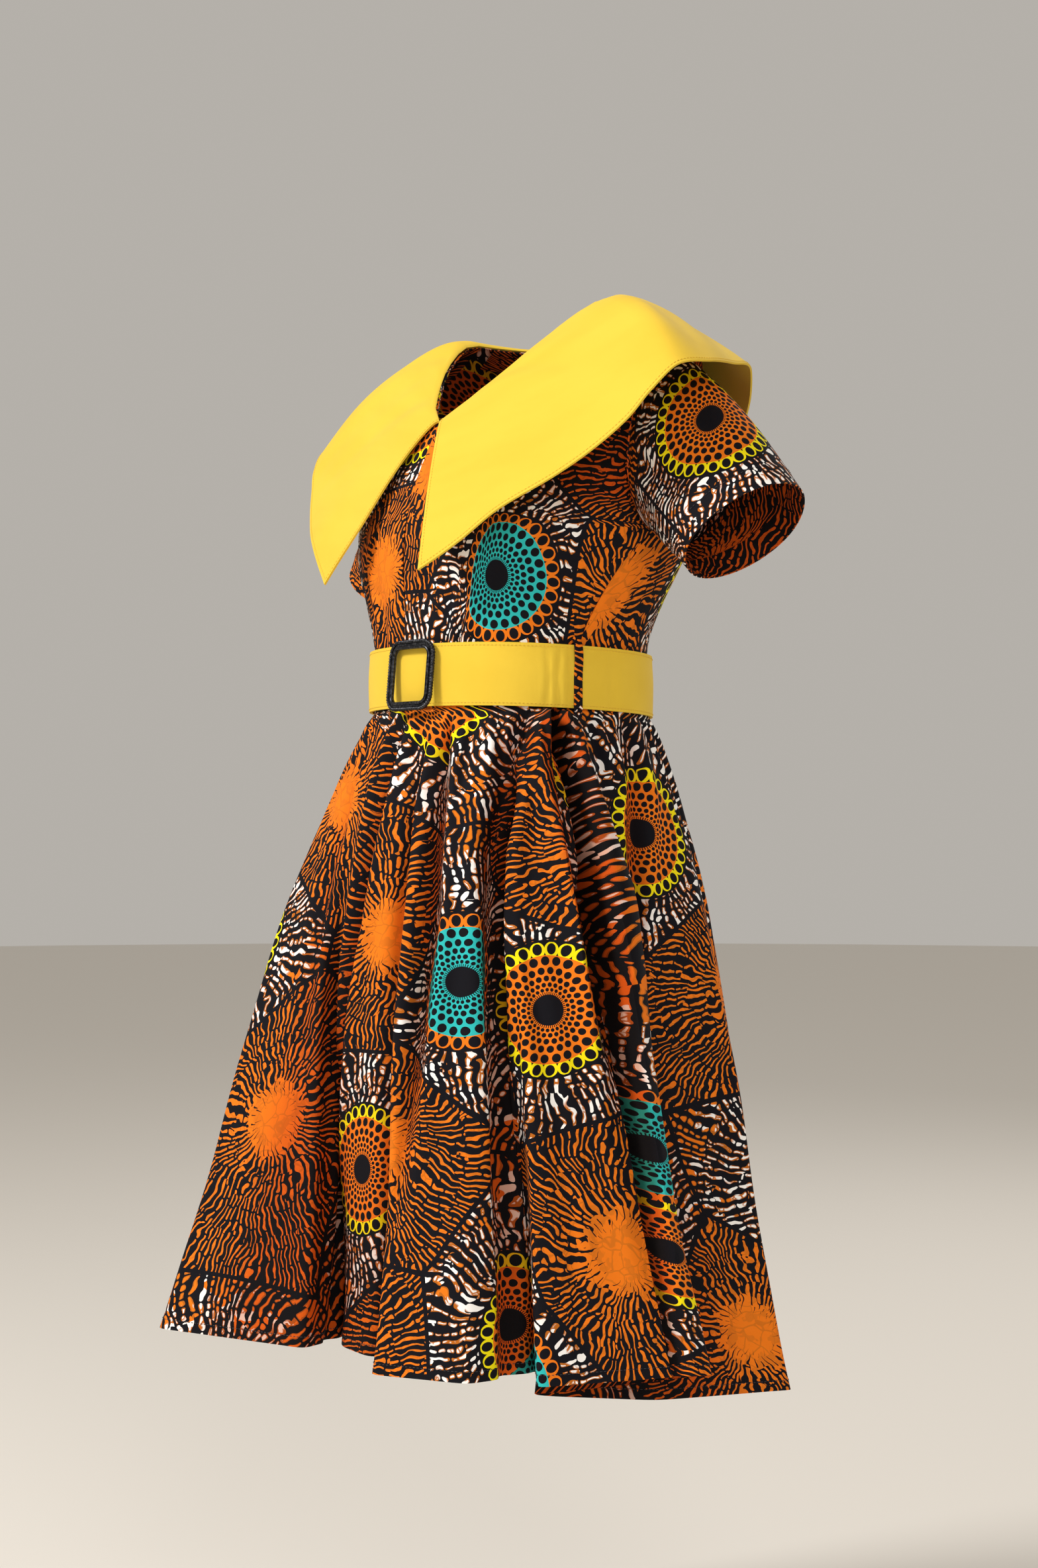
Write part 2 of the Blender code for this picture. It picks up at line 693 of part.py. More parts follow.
def skirt_spot(grid, normals, place, height):
    """A point of the skirt's outer face and its normal, at a place between columns."""
    low = int(math.floor(place))
    part = place - low
    found = []
    for column in (low % SKIRT_COLUMNS, (low + 1) % SKIRT_COLUMNS):
        line, facing = grid[::-1, column], normals[::-1, column]
        spot = [np.interp(height, line[:, 2], line[:, axis]) for axis in range(3)]
        way = [np.interp(height, line[:, 2], facing[:, axis]) for axis in range(3)]
        found.append((np.array(spot), np.array(way)))
    spot = found[0][0] * (1 - part) + found[1][0] * part
    way = found[0][1] * (1 - part) + found[1][1] * part
    return spot, way / np.linalg.norm(way)


def build_pocket(grid, normals, seam):
    """The left pocket's bag, which hangs forward and down from the side seam."""
    outer, inner = [], []
    middle = (POCKET_TOP_Z + POCKET_BOTTOM_Z) / 2
    half = (POCKET_TOP_Z - POCKET_BOTTOM_Z) / 2
    shrink = PRINT_WALL * 0.8
    for ring in range(POCKET_RINGS + 1):
        share = ring / POCKET_RINGS
        place = seam - POCKET_MOUTH_COLUMNS - POCKET_BAG_COLUMNS * share
        centre_z = middle - POCKET_DROP * share
        tall = half * POCKET_MOUTH_SHARE + POCKET_SWELL * math.sin(math.pi * min(1.0, share * 1.1))
        if ring == POCKET_RINGS:
            tall = half * POCKET_END_SHARE
        thick = (POCKET_HALF_MOUTH - POCKET_HALF_END) * (1 - share)**1.5 + POCKET_HALF_END
        fade = max(0.0, 1 - (seam - place) / POCKET_FADE_COLUMNS) ** 2
        inset = PRINT_WALL + POCKET_CLEAR - POCKET_FRONT_OUT * fade
        line_out, line_in = [], []
        for point in range(POCKET_RING_POINTS):
            turn = 2 * math.pi * point / POCKET_RING_POINTS
            height = centre_z + tall * math.cos(turn)
            inner_height = centre_z + (tall - shrink) * math.cos(turn)
            spot, way = skirt_spot(grid, normals, place, height)
            depth = inset + thick * (1 - math.sin(turn))
            inner_depth = inset + thick - (thick - shrink) * math.sin(turn)
            line_out.append(spot - way * depth)
            line_in.append(spot - way * inner_depth + np.array((0.0, 0.0, inner_height - height)))
        outer.append(line_out)
        inner.append(line_in)
    add_pouch("pocket_bag_left", np.array(outer), np.array(inner), "print_cotton")


def add_pouch(name, outer, inner, finish):
    """A bag open at its first ring and closed at its last."""
    rings, points = outer.shape[:2]
    inner_rings = rings - 1
    inner = inner[:inner_rings]
    vertices = np.concatenate((outer.reshape(-1, 3), inner.reshape(-1, 3)))
    offset = rings * points
    faces = []
    for ring in range(rings - 1):
        for point in range(points):
            following = (point + 1) % points
            faces.append([ring * points + point, ring * points + following,
                          (ring + 1) * points + following, (ring + 1) * points + point])
    for ring in range(inner_rings - 1):
        here, beyond = offset + ring * points, offset + (ring + 1) * points
        for point in range(points):
            following = (point + 1) % points
            faces.append([here + following, here + point, beyond + point, beyond + following])
    for point in range(points):
        following = (point + 1) % points
        faces.append([point, offset + point, offset + following, following])
    last_outer = (rings - 1) * points
    last_inner = offset + (inner_rings - 1) * points
    half = points // 2
    for point in range(half):
        left, left_next = point, point + 1
        right, right_next = (points - point) % points, points - point - 1
        for base in (last_outer, last_inner):
            loop = [base + left, base + left_next, base + right_next, base + right]
            faces.append(list(dict.fromkeys(loop)))
    return add_object(name, vertices, faces, finish)


# Belt, carriers and buckle

def belt_shift(point):
    """The belt hangs a little lower at the back."""
    return -BELT_TILT * point[1]


def belt_ring(height, out):
    """A ring of the belt, standing off the waist."""
    ring = []
    for column in range(BELT_COLUMNS):
        degrees = 360 * column / BELT_COLUMNS
        point = torso_point(degrees, height)
        normal = torso_normal(degrees, WAIST_Z)
        normal[2] = 0.0
        normal = normal / np.linalg.norm(normal)
        spot = point + normal * out
        spot[2] += belt_shift(point)
        ring.append(spot)
    return ring


def build_belt():
    rows = 3
    outer, inner = [], []
    for row in range(rows + 1):
        height = BELT_BOTTOM_Z + BELT_WIDTH * row / rows
        out = BELT_CLEAR + BELT_BULGE * math.sin(math.pi * row / rows)
        outer.append(belt_ring(height, out + BELT_WALL))
        inner.append(belt_ring(height, out))
    wall("belt", outer, inner, "plain_cotton", closed=True)


def build_carrier(name, degrees):
    """A narrow strap over the belt at a side seam."""
    normal = torso_normal(degrees, WAIST_Z)
    normal[2] = 0.0
    normal = normal / np.linalg.norm(normal)
    along = np.array((-normal[1], normal[0], 0.0))
    drop = belt_shift(torso_point(degrees, WAIST_Z))
    over = BELT_CLEAR + BELT_WALL + BELT_BULGE + OVER_BELT_CLEAR
    reach = BELT_WIDTH / 2
    profile = (
        # height from the waist, distance from the body
        (reach + 0.0075, 0.0018),
        (reach + 0.0040, 0.0018),
        (reach + 0.0014, over * 0.75),
        (reach - 0.0020, over),
        (0.0, over + 0.0004),
        (-reach + 0.0020, over),
        (-reach - 0.0014, over * 0.95),
        (-reach - 0.0045, 0.0046),
        (-reach - 0.0080, 0.0050),
    )
    outer, inner = [], []
    for rise, distance in profile:
        spot = torso_point(degrees, WAIST_Z + rise)
        centre = spot + normal * distance
        centre[2] = WAIST_Z + rise + drop
        line_out, line_in = [], []
        for step in (-1, 0, 1):
            place = centre + along * CARRIER_WIDTH / 2 * step
            line_out.append(place + normal * CARRIER_WALL)
            line_in.append(place)
        outer.append(line_out)
        inner.append(line_in)
    wall(name, outer, inner, "print_cotton")


def rounded_rectangle(width, height, radius, steps):
    """Corner points of a rounded rectangle, anticlockwise."""
    points = []
    for index, (side_x, side_z) in enumerate(((1, 1), (-1, 1), (-1, -1), (1, -1))):
        for step in range(steps + 1):
            angle = math.radians(90 * (index + step / steps))
            points.append((
                side_x * (width / 2 - radius) + radius * math.cos(angle),
                side_z * (height / 2 - radius) + radius * math.sin(angle)))
    return points


def belt_front(across):
    """How far forward the waist reaches at a distance from the centre line."""
    half_width, front, _, side_y, power = smooth_table(TORSO_RINGS, WAIST_Z)
    share = (1 - (abs(across) / half_width) ** power) ** (1 / power)
    return side_y - (front + side_y) * share


def build_buckle():
    """A flat frame of rounded section, lying on the belt at the centre front."""
    width, height = BUCKLE_SIZE
    steps = 4
    section = 8
    outline = rounded_rectangle(width - BUCKLE_BAR, height - BUCKLE_BAR, BUCKLE_CORNER, steps)
    count = len(outline)
    over = BELT_CLEAR + BELT_WALL + OVER_BELT_CLEAR + BUCKLE_DEPTH
    tilt = math.radians(BUCKLE_TILT_DEG)
    lift = math.sin(tilt) * height / 2
    vertices, faces = [], []
    for index, (x, z) in enumerate(outline):
        before, after = outline[index - 1], outline[(index + 1) % count]
        along = np.array((after[0] - before[0], after[1] - before[1]))
        outward = np.array((along[1], -along[0])) / np.linalg.norm(along)
        for corner in range(section):
            turn = 2 * math.pi * (corner + 0.5) / section
            side = BUCKLE_BAR / 2 * math.cos(turn)
            proud = BUCKLE_DEPTH * math.sin(turn)
            flat = np.array((x, z)) + outward * side
            across = BUCKLE_X + flat[0]
            y = belt_front(across) - over - lift - proud + math.sin(tilt) * flat[1]
            vertices.append((across, y, WAIST_Z + BUCKLE_RISE + flat[1] * math.cos(tilt)))
    for index in range(count):
        following = (index + 1) % count
        for corner in range(section):
            beside = (corner + 1) % section
            faces.append([index * section + corner, following * section + corner,
                          following * section + beside, index * section + beside])
    add_object("buckle", vertices, faces, "gunmetal")


def main():
    clear_scene()
    build_bodice()
    build_facings()
    build_sleeves()
    build_collar()
    grid, normals, seam = build_skirt()
    build_pocket(grid, normals, seam)
    build_belt()
    build_carrier("belt_carrier_left", SIDE_SEAM_WAIST_DEG)
    build_carrier("belt_carrier_right", -SIDE_SEAM_WAIST_DEG)
    build_buckle()


main()
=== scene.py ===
"""Looks of the belted wax print dress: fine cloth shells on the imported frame."""

import math

import bmesh
import bpy
import numpy as np
from mathutils import Matrix


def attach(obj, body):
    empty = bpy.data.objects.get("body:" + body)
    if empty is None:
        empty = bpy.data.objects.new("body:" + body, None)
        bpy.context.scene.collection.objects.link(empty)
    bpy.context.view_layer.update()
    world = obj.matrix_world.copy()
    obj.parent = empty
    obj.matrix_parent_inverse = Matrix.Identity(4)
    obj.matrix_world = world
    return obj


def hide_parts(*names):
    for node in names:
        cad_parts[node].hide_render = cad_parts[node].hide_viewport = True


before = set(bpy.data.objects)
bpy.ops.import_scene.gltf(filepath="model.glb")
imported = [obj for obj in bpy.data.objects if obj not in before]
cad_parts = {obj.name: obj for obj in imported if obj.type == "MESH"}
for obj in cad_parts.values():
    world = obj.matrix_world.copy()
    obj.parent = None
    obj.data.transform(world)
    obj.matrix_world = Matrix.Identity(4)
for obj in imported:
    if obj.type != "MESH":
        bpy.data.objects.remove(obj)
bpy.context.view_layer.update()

# Sizes shared with the solids
WAIST_Z = -0.333
UNDERARM_Z = -0.205
SHOULDER_TIP_Z = -0.045
V_POINT_Z = -0.098
NECK_HALF_WIDTH = 0.102
BACK_NECK_DIP = 0.006
FACING_WIDTH = 0.030
PRINT_WALL = 0.0016
SEAM_GAP = 0.0004
SEAM_OVERLAP = 0.00005
BELT_WIDTH = 0.055
BELT_TILT = 0.035
BELT_WALL = 0.0028
BELT_CLEAR = 0.0016
BELT_BULGE = 0.0012
OVER_BELT_CLEAR = 0.0005
BELT_BOTTOM_Z = WAIST_Z - BELT_WIDTH / 2
CARRIER_WIDTH = 0.008
CARRIER_WALL = 0.0012
BUCKLE_SIZE = (0.062, 0.063)
BUCKLE_BAR = 0.0085
BUCKLE_CORNER = 0.010
BUCKLE_TILT_DEG = 5.0
BUCKLE_X = 0.024
BUCKLE_RISE = 0.004
BUCKLE_DEPTH = 0.0034
SIDE_SEAM_WAIST_DEG = 81.0
SIDE_ROWS = 5
ARMHOLE_ROWS = 8
SHOULDER_ROWS = 3
FRONT_COLUMNS = 9
BACK_COLUMNS = 18
SKIRT_COLUMNS = 136
ARMHOLE_CUT_FRONT = 12.0
ARMHOLE_CUT_BACK = 15.0
SLEEVE_HEM_CENTRE = (0.263, 0.057, -0.2135)
SLEEVE_PLAN_DEG = 16.0
SLEEVE_DROP_DEG = 51.0
SLEEVE_HEM_ACROSS = 0.063
SLEEVE_HEM_UP = 0.058
SLEEVE_HEAD = 0.008
SLEEVE_SIDE_EASE = 0.006
SLEEVE_SEAM_GAP = 0.0007
COLLAR_FOOT_UP = 0.0012
COLLAR_FOOT_OUT = 0.0006
COLLAR_CROWN_UP = 0.004
COLLAR_CROWN_OUT = 0.010
COLLAR_FALL_SHARE = 0.62
HEM_HALF_WIDTH = 0.252
HEM_FRONT = 0.262
HEM_BACK = 0.250
HIP_FULLNESS = 1.12
FOLD_ROUNDING = 0.010
CREST_BEFORE = 0.18
CREST_AFTER = 0.25
VALLEY_AFTER = 0.55
VALLEY_HEM_SHARE = 0.9
FOLD_DELAY = 0.6
FOLD_POWER = 1.05
LEFT_SEAM_SHARE = 0.72
RIGHT_SEAM_XY = (-0.262, 0.020)
POCKET_TOP_Z = -0.392
POCKET_BOTTOM_Z = -0.512
POCKET_FRONT_OUT = 0.010
POCKET_BACK_IN = 0.018
POCKET_FADE_COLUMNS = 6
POCKET_MOUTH_COLUMNS = 0.25
POCKET_BAG_COLUMNS = 7
POCKET_MOUTH_SHARE = 0.86
POCKET_DROP = 0.035
POCKET_SWELL = 0.030
POCKET_HALF_MOUTH = 0.0136
POCKET_HALF_END = 0.0030
POCKET_CLEAR = 0.0013

TORSO_RINGS = (
    # z, half_width, front, back, side_y, power
    (-0.390, 0.133, 0.117, 0.114, 0.000, 2.3),
    (-0.333, 0.131, 0.116, 0.112, 0.000, 2.3),
    (-0.296, 0.132, 0.1165, 0.113, 0.002, 2.3),
    (-0.257, 0.149, 0.117, 0.120, 0.008, 2.4),
    (-0.230, 0.163, 0.118, 0.126, 0.016, 2.5),
    (-0.205, 0.175, 0.117, 0.132, 0.028, 2.5),
    (-0.170, 0.182, 0.110, 0.137, 0.030, 2.5),
    (-0.130, 0.186, 0.094, 0.140, 0.030, 2.5),
    (-0.098, 0.188, 0.078, 0.139, 0.030, 2.5),
    (-0.070, 0.190, 0.055, 0.134, 0.030, 2.4),
    (-0.045, 0.190, 0.034, 0.127, 0.031, 2.4),
    (-0.022, 0.146, 0.014, 0.121, 0.033, 2.3),
    (0.000, 0.102, -0.005, 0.115, 0.034, 2.2),
)

COLLAR_EDGE = (
    # share, x, y, z, roll, arch
    (0.00, 0.078, -0.153, -0.242, 0.0010, 0.006),
    (0.09, 0.118, -0.136, -0.218, 0.0030, 0.008),
    (0.16, 0.148, -0.123, -0.199, 0.0040, 0.011),
    (0.26, 0.198, -0.098, -0.173, 0.0045, 0.016),
    (0.33, 0.230, -0.080, -0.151, 0.0060, 0.020),
    (0.40, 0.255, -0.064, -0.129, 0.0070, 0.031),
    (0.47, 0.272, -0.052, -0.106, 0.0085, 0.037),
    (0.54, 0.284, -0.034, -0.085, 0.0095, 0.037),
    (0.62, 0.280, 0.006, -0.076, 0.0085, 0.018),
    (0.70, 0.256, 0.050, -0.070, 0.0070, 0.008),
    (0.78, 0.230, 0.094, -0.067, 0.0070, 0.005),
    (0.84, 0.190, 0.125, -0.088, 0.0110, 0.014),
    (0.90, 0.130, 0.151, -0.118, 0.0130, 0.013),
    (0.95, 0.065, 0.162, -0.134, 0.0140, 0.012),
    (1.00, 0.000, 0.165, -0.139, 0.0150, 0.012),
)

FOLDS = (
    # waist_deg, left_x, left_y, right_x, right_y, valley_x, valley_y, hem_z, start
    (-88, -0.285, -0.040, -0.272, -0.088, -0.236, -0.108, -0.932, 0.15),
    (-64, -0.256, -0.150, -0.228, -0.196, -0.196, -0.204, -0.922, 0.25),
    (-36, -0.158, -0.284, -0.008, -0.214, -0.050, -0.146, -0.917, 0.02),
    (2, -0.014, -0.174, 0.040, -0.176, 0.052, -0.122, -0.921, 0.02),
    (32, 0.093, -0.213, 0.172, -0.162, 0.158, -0.082, -0.920, 0.06),
    (64, 0.206, -0.120, 0.254, 0.034, 0.110, -0.058, -0.922, 0.14),
    (112, 0.176, 0.030, 0.215, 0.158, 0.150, 0.160, -0.960, 0.20),
    (140, 0.128, 0.206, 0.072, 0.246, 0.034, 0.214, -0.968, 0.15),
    (172, 0.000, 0.250, -0.052, 0.258, -0.082, 0.212, -0.972, 0.20),
    (205, -0.118, 0.238, -0.168, 0.214, -0.176, 0.166, -0.966, 0.15),
    (236, -0.222, 0.166, -0.248, 0.116, -0.222, 0.082, -0.952, 0.20),
)
LEFT_SEAM_FOLD = 5

# Detail of the cloth
SHELL = 0.0009
COLLAR_SHELL = 0.0018
BODICE_FINER = 4
SKIRT_FINER = 4
SKIRT_ROW_COUNT = 110


# Geometry of the garment

def smooth(rows, keys):
    """Values of a table at many places between its rows, on smooth curves."""
    table = np.array(rows, dtype=float)
    places = table[:, 0]
    keys = np.clip(np.asarray(keys, dtype=float), places[0], places[-1])
    slopes = np.gradient(table[:, 1:], places, axis=0)
    index = np.clip(np.searchsorted(places, keys) - 1, 0, len(places) - 2)
    span = (places[index + 1] - places[index])[..., None]
    part = (keys - places[index])[..., None] / span
    start, end = table[index, 1:], table[index + 1, 1:]
    rise, fall = slopes[index] * span, slopes[index + 1] * span
    return ((2 * part**3 - 3 * part**2 + 1) * start + (part**3 - 2 * part**2 + part) * rise
            + (3 * part**2 - 2 * part**3) * end + (part**3 - part**2) * fall)


def torso(degrees, heights):
    values = smooth(TORSO_RINGS, heights)
    half_width, front, back, side_y, power = np.moveaxis(values, -1, 0)
    angle = np.radians(degrees)
    sine, cosine = np.sin(angle), np.cos(angle)
    across = half_width * np.sign(sine) * np.abs(sine) ** (2 / power)
    reach = np.where(cosine > 0, front + side_y, back - side_y)
    along = side_y - reach * np.sign(cosine) * np.abs(cosine) ** (2 / power)
    return np.stack((across, along, np.broadcast_to(heights, across.shape)), axis=-1)


def unit(vectors):
    return vectors / np.maximum(np.linalg.norm(vectors, axis=-1, keepdims=True), 1e-12)


def torso_normals(degrees, heights):
    heights = np.asarray(heights, dtype=float)
    round_body = torso(degrees + 1.5, heights) - torso(degrees - 1.5, heights)
    up_body = torso(degrees, heights + 0.004) - torso(degrees, heights - 0.004)
    return unit(np.cross(round_body, up_body))


def grid_normals(grid, closed=False):
    if closed:
        along = np.roll(grid, -1, axis=1) - np.roll(grid, 1, axis=1)
    else:
        along = np.gradient(grid, axis=1)
    return unit(np.cross(along, np.gradient(grid, axis=0)))


def armhole_places(steps, front):
    share = (1 - np.cos(np.pi * steps / ARMHOLE_ROWS)) / 2
    heights = UNDERARM_Z + (SHOULDER_TIP_Z - UNDERARM_Z) * share
    cut = np.clip(np.sin(np.pi * share), 0, 1) ** 0.6
    degrees = 90 - ARMHOLE_CUT_FRONT * cut if front else 90 + ARMHOLE_CUT_BACK * cut
    return np.stack((degrees, heights), axis=-1)


def outer_places(front):
    share = np.arange(SIDE_ROWS) / SIDE_ROWS
    side = np.stack((SIDE_SEAM_WAIST_DEG + (90 - SIDE_SEAM_WAIST_DEG) * share,
                     WAIST_Z + (UNDERARM_Z - WAIST_Z) * share), axis=-1)
    hole = armhole_places(np.arange(ARMHOLE_ROWS + 1.0), front)
    rise = np.arange(1, SHOULDER_ROWS + 1) / SHOULDER_ROWS
    shoulder = np.stack((np.full(SHOULDER_ROWS, 90.0), SHOULDER_TIP_Z * (1 - rise)), axis=-1)
    return np.concatenate((side, hole, shoulder))


def front_inner_places():
    count = SIDE_ROWS + ARMHOLE_ROWS + SHOULDER_ROWS
    centre_rows = 9
    places = [(0.0, WAIST_Z + (V_POINT_Z - WAIST_Z) * row / centre_rows) for row in range(centre_rows + 1)]
    for row in range(1, count - centre_rows + 1):
        share = row / (count - centre_rows)
        height = -0.004 if share == 1 else V_POINT_Z * (1 - share**0.9)
        half_width, power = smooth(TORSO_RINGS, height)[[0, 4]]
        across = NECK_HALF_WIDTH * max(0.0, (height - V_POINT_Z) / -V_POINT_Z) ** 0.75
        ratio = min(0.995, across / half_width)
        places.append((math.degrees(math.asin(ratio ** (power / 2))), height))
    return np.array(places)


def shift_inside(place, toward, distance):
    length = max(np.linalg.norm(torso(toward[0], toward[1]) - torso(place[0], place[1])), 1e-6)
    return place + (toward - place) * min(0.45, distance / length)


def bodice_front_places():
    rows = []
    for start, end in zip(front_inner_places(), outer_places(True)):
        first = shift_inside(start, end, SEAM_OVERLAP)
        last = shift_inside(end, start, SEAM_OVERLAP)
        share = np.linspace(0, 1, FRONT_COLUMNS + 1)[:, None]
        rows.append(first + (last - first) * share)
    return np.array(rows)


def bodice_back_places():
    outer = outer_places(False)
    count = len(outer)
    rows = []
    for row, side in enumerate(outer):
        middle_z = WAIST_Z + (0.0 - WAIST_Z) * row / (count - 1)
        first = shift_inside(side, np.array((180.0, middle_z)), SEAM_OVERLAP)
        share = np.linspace(0, 1, BACK_COLUMNS + 1)
        degrees = first[0] + (360 - 2 * first[0]) * share
        inward = 1 - np.abs(2 * share - 1)
        heights = side[1] + (middle_z - side[1]) * inward * inward * (3 - 2 * inward)
        if row == count - 1:
            heights = -BACK_NECK_DIP * np.cos(np.radians(degrees - 180)) ** 2
        rows.append(np.stack((degrees, heights), axis=-1))
    return np.array(rows)


def finer(grid, row_steps, column_steps, edged=True):
    """A grid with more rows and columns, and narrow columns along its two sides for the seams."""
    rows, columns = grid.shape[:2]
    new_rows = np.linspace(0, rows - 1, (rows - 1) * row_steps + 1)
    new_columns = np.linspace(0, columns - 1, (columns - 1) * column_steps + 1)
    if edged:
        narrow = new_columns[1] * np.array((0.2, 0.45, 0.7))
        new_columns = np.sort(np.concatenate((new_columns, narrow, columns - 1 - narrow)))
    low = np.minimum(new_rows.astype(int), rows - 2)
    part = (new_rows - low)[:, None, None]
    grid = grid[low] * (1 - part) + grid[low + 1] * part
    low = np.minimum(new_columns.astype(int), columns - 2)
    part = (new_columns - low)[None, :, None]
    return grid[:, low] * (1 - part) + grid[:, low + 1] * part


def between(spots, places, values):
    """Rows of values at spots between their places."""
    return np.stack([np.interp(spots, places, column) for column in values.T], axis=-1)


def arc_lengths(grid):
    steps = np.linalg.norm(np.diff(grid, axis=1), axis=2)
    return np.concatenate((np.zeros((len(grid), 1)), np.cumsum(steps, axis=1)), axis=1)


def creased(grid, normals, uv, row_shares, column_keys, creases):
    """Moves cloth in along troughs and out beside them; cloth folded away leaves the print. Also gives how
    deep the troughs are, which the skirt uses for painted shade.
    """
    arcs = arc_lengths(grid)
    moved, hidden, troughs = np.zeros((3,) + grid.shape[:2])
    for *sizes, line in creases:
        depth, width, folded = 0.001 * np.array(sizes)
        line = np.array(line)
        keys = np.interp(row_shares, line[:, 0], line[:, 1])
        centre = np.array([np.interp(key, column_keys, arc) for key, arc in zip(keys, arcs)])
        part = np.clip((row_shares - line[0, 0]) / (line[-1, 0] - line[0, 0]), 0, 1)
        strength = np.sin(np.pi * part**0.6) ** 0.7
        off = (arcs - centre[:, None]) / width
        shape = 0.38 * np.exp(-(np.abs(off) - 1.9) ** 2) - np.exp(-off ** 2)
        moved += depth * strength[:, None] * shape
        troughs += depth * strength[:, None] * np.exp(-(0.7 * off) ** 2)
        hidden += 0.5 * folded * strength[:, None] * np.tanh(off * 2.2)
    if uv.shape[1] > grid.shape[1]:
        hidden = np.concatenate((hidden, hidden[:, :1]), axis=1)
    uv = np.stack((uv[..., 0] + hidden, uv[..., 1]), axis=-1)
    return grid + normals * moved[..., None], uv, troughs


def sunk_edges(grid, normals, sides=(True, True), depth=0.0009, width=0.0022):
    """Draws the cloth in along the seams at its first and last columns."""
    arcs = arc_lengths(grid)
    moved = np.zeros(grid.shape[:2])
    if sides[0]:
        moved += np.exp(-(arcs / width) ** 2)
    if sides[1]:
        moved += np.exp(-((arcs[:, -1:] - arcs) / width) ** 2)
    return grid - normals * (moved * depth)[..., None]


def belt_shift(y):
    return -BELT_TILT * y


def round_off(values, reach):
    total, weight = np.zeros_like(values), 0.0
    for step in range(-reach, reach + 1):
        share = math.cos(0.5 * math.pi * step / (reach + 1)) ** 2
        total += np.roll(values, step, axis=0) * share
        weight += share
    return total / weight


def skirt_data():
    """Waist angle, place at the hem, height and start of the folds, column by column."""
    corners = []
    for index, row in enumerate(FOLDS):
        waist, left_x, left_y, right_x, right_y, valley_x, valley_y, hem_z, start = row
        following = FOLDS[(index + 1) % len(FOLDS)]
        step = following[0] + (360 if index == len(FOLDS) - 1 else 0) - waist
        valley_z = hem_z + (following[7] - hem_z) * VALLEY_HEM_SHARE
        corners.append((waist - CREST_BEFORE * step, left_x, left_y, hem_z, start))
        corners.append((waist + CREST_AFTER * step, right_x, right_y, hem_z, start))
        corners.append((waist + VALLEY_AFTER * step, valley_x, valley_y, valley_z, start))
    corners = np.array(corners)
    count = len(corners)
    ends = np.roll(corners, -1, axis=0)
    lengths = np.linalg.norm(ends[:, 1:3] - corners[:, 1:3], axis=1)
    places = np.concatenate(([0.0], np.cumsum(lengths)))
    fine = SKIRT_COLUMNS * SKIRT_FINER
    spots = np.arange(fine) / fine * places[-1]
    segment = np.clip(np.searchsorted(places, spots, side="right") - 1, 0, count - 1)
    part = (spots - places[segment]) / lengths[segment]
    stops = ends[segment].copy()
    stops[:, 0] = np.where(segment == count - 1, stops[:, 0] + 360, stops[:, 0])
    return corners[segment] + (stops - corners[segment]) * part[:, None], places[-1] / fine


def skirt_grid():
    data, spacing = skirt_data()
    reach = max(2, int(round(2 * FOLD_ROUNDING / spacing)))
    angle = np.radians(data[:, 0])
    waist = torso(data[:, 0], np.full(len(data), BELT_BOTTOM_Z))
    depth = np.where(np.cos(angle) > 0, HEM_FRONT, HEM_BACK)
    base = np.stack((HEM_HALF_WIDTH * np.sin(angle), -depth * np.cos(angle)), axis=-1)
    heights = round_off(data[:, 3:4], reach * 2)[:, 0]
    top = BELT_BOTTOM_Z - 0.001 + belt_shift(waist[:, 1])
    rings = []
    for rise in (1.0, 0.5):
        ring = waist.copy()
        ring[:, 2] = top + (WAIST_Z - SEAM_GAP / 2 - top) * rise
        rings.append(ring)
    for share in np.linspace(0, 1, SKIRT_ROW_COUNT) ** 1.05:
        spread = share + HIP_FULLNESS * share * (1 - share) ** 2
        start = data[:, 4] * FOLD_DELAY
        grown = np.clip((share - start) / (1 - start), 0.0, 1.0) ** FOLD_POWER
        flared = waist[:, :2] + (base - waist[:, :2]) * spread
        flat = flared + (data[:, 1:3] - base) * grown[:, None]
        rings.append(np.column_stack((flat, top + (heights - top) * share)))
    rings = [round_off(ring, reach) if index > 2 else ring for index, ring in enumerate(rings)]
    return np.array(rings), data[:, 0]


# Meshes

def add_mesh(name, vertices, faces, uvs=None, smooth_deg=50, shade=None):
    """A mesh object; uvs gives a pair for each face corner, shade the painted shade at each point, mostly
    from how deep it lies.
    """
    mesh = bpy.data.meshes.new(name)
    mesh.from_pydata([tuple(point) for point in vertices], [], [tuple(face) for face in faces])
    if uvs is not None:
        layer = mesh.uv_layers.new(name="print")
        layer.data.foreach_set("uv", np.asarray(uvs, dtype=np.float32).ravel())
    if shade is not None:
        values = mesh.attributes.new("shade", "FLOAT", "POINT")
        values.data.foreach_set("value", np.asarray(shade, dtype=np.float32).ravel())
    mesh.validate()
    mesh.shade_smooth()
    mesh.set_sharp_from_angle(angle=math.radians(smooth_deg))
    made = bpy.data.objects.new(name, mesh)
    bpy.context.scene.collection.objects.link(made)
    return made


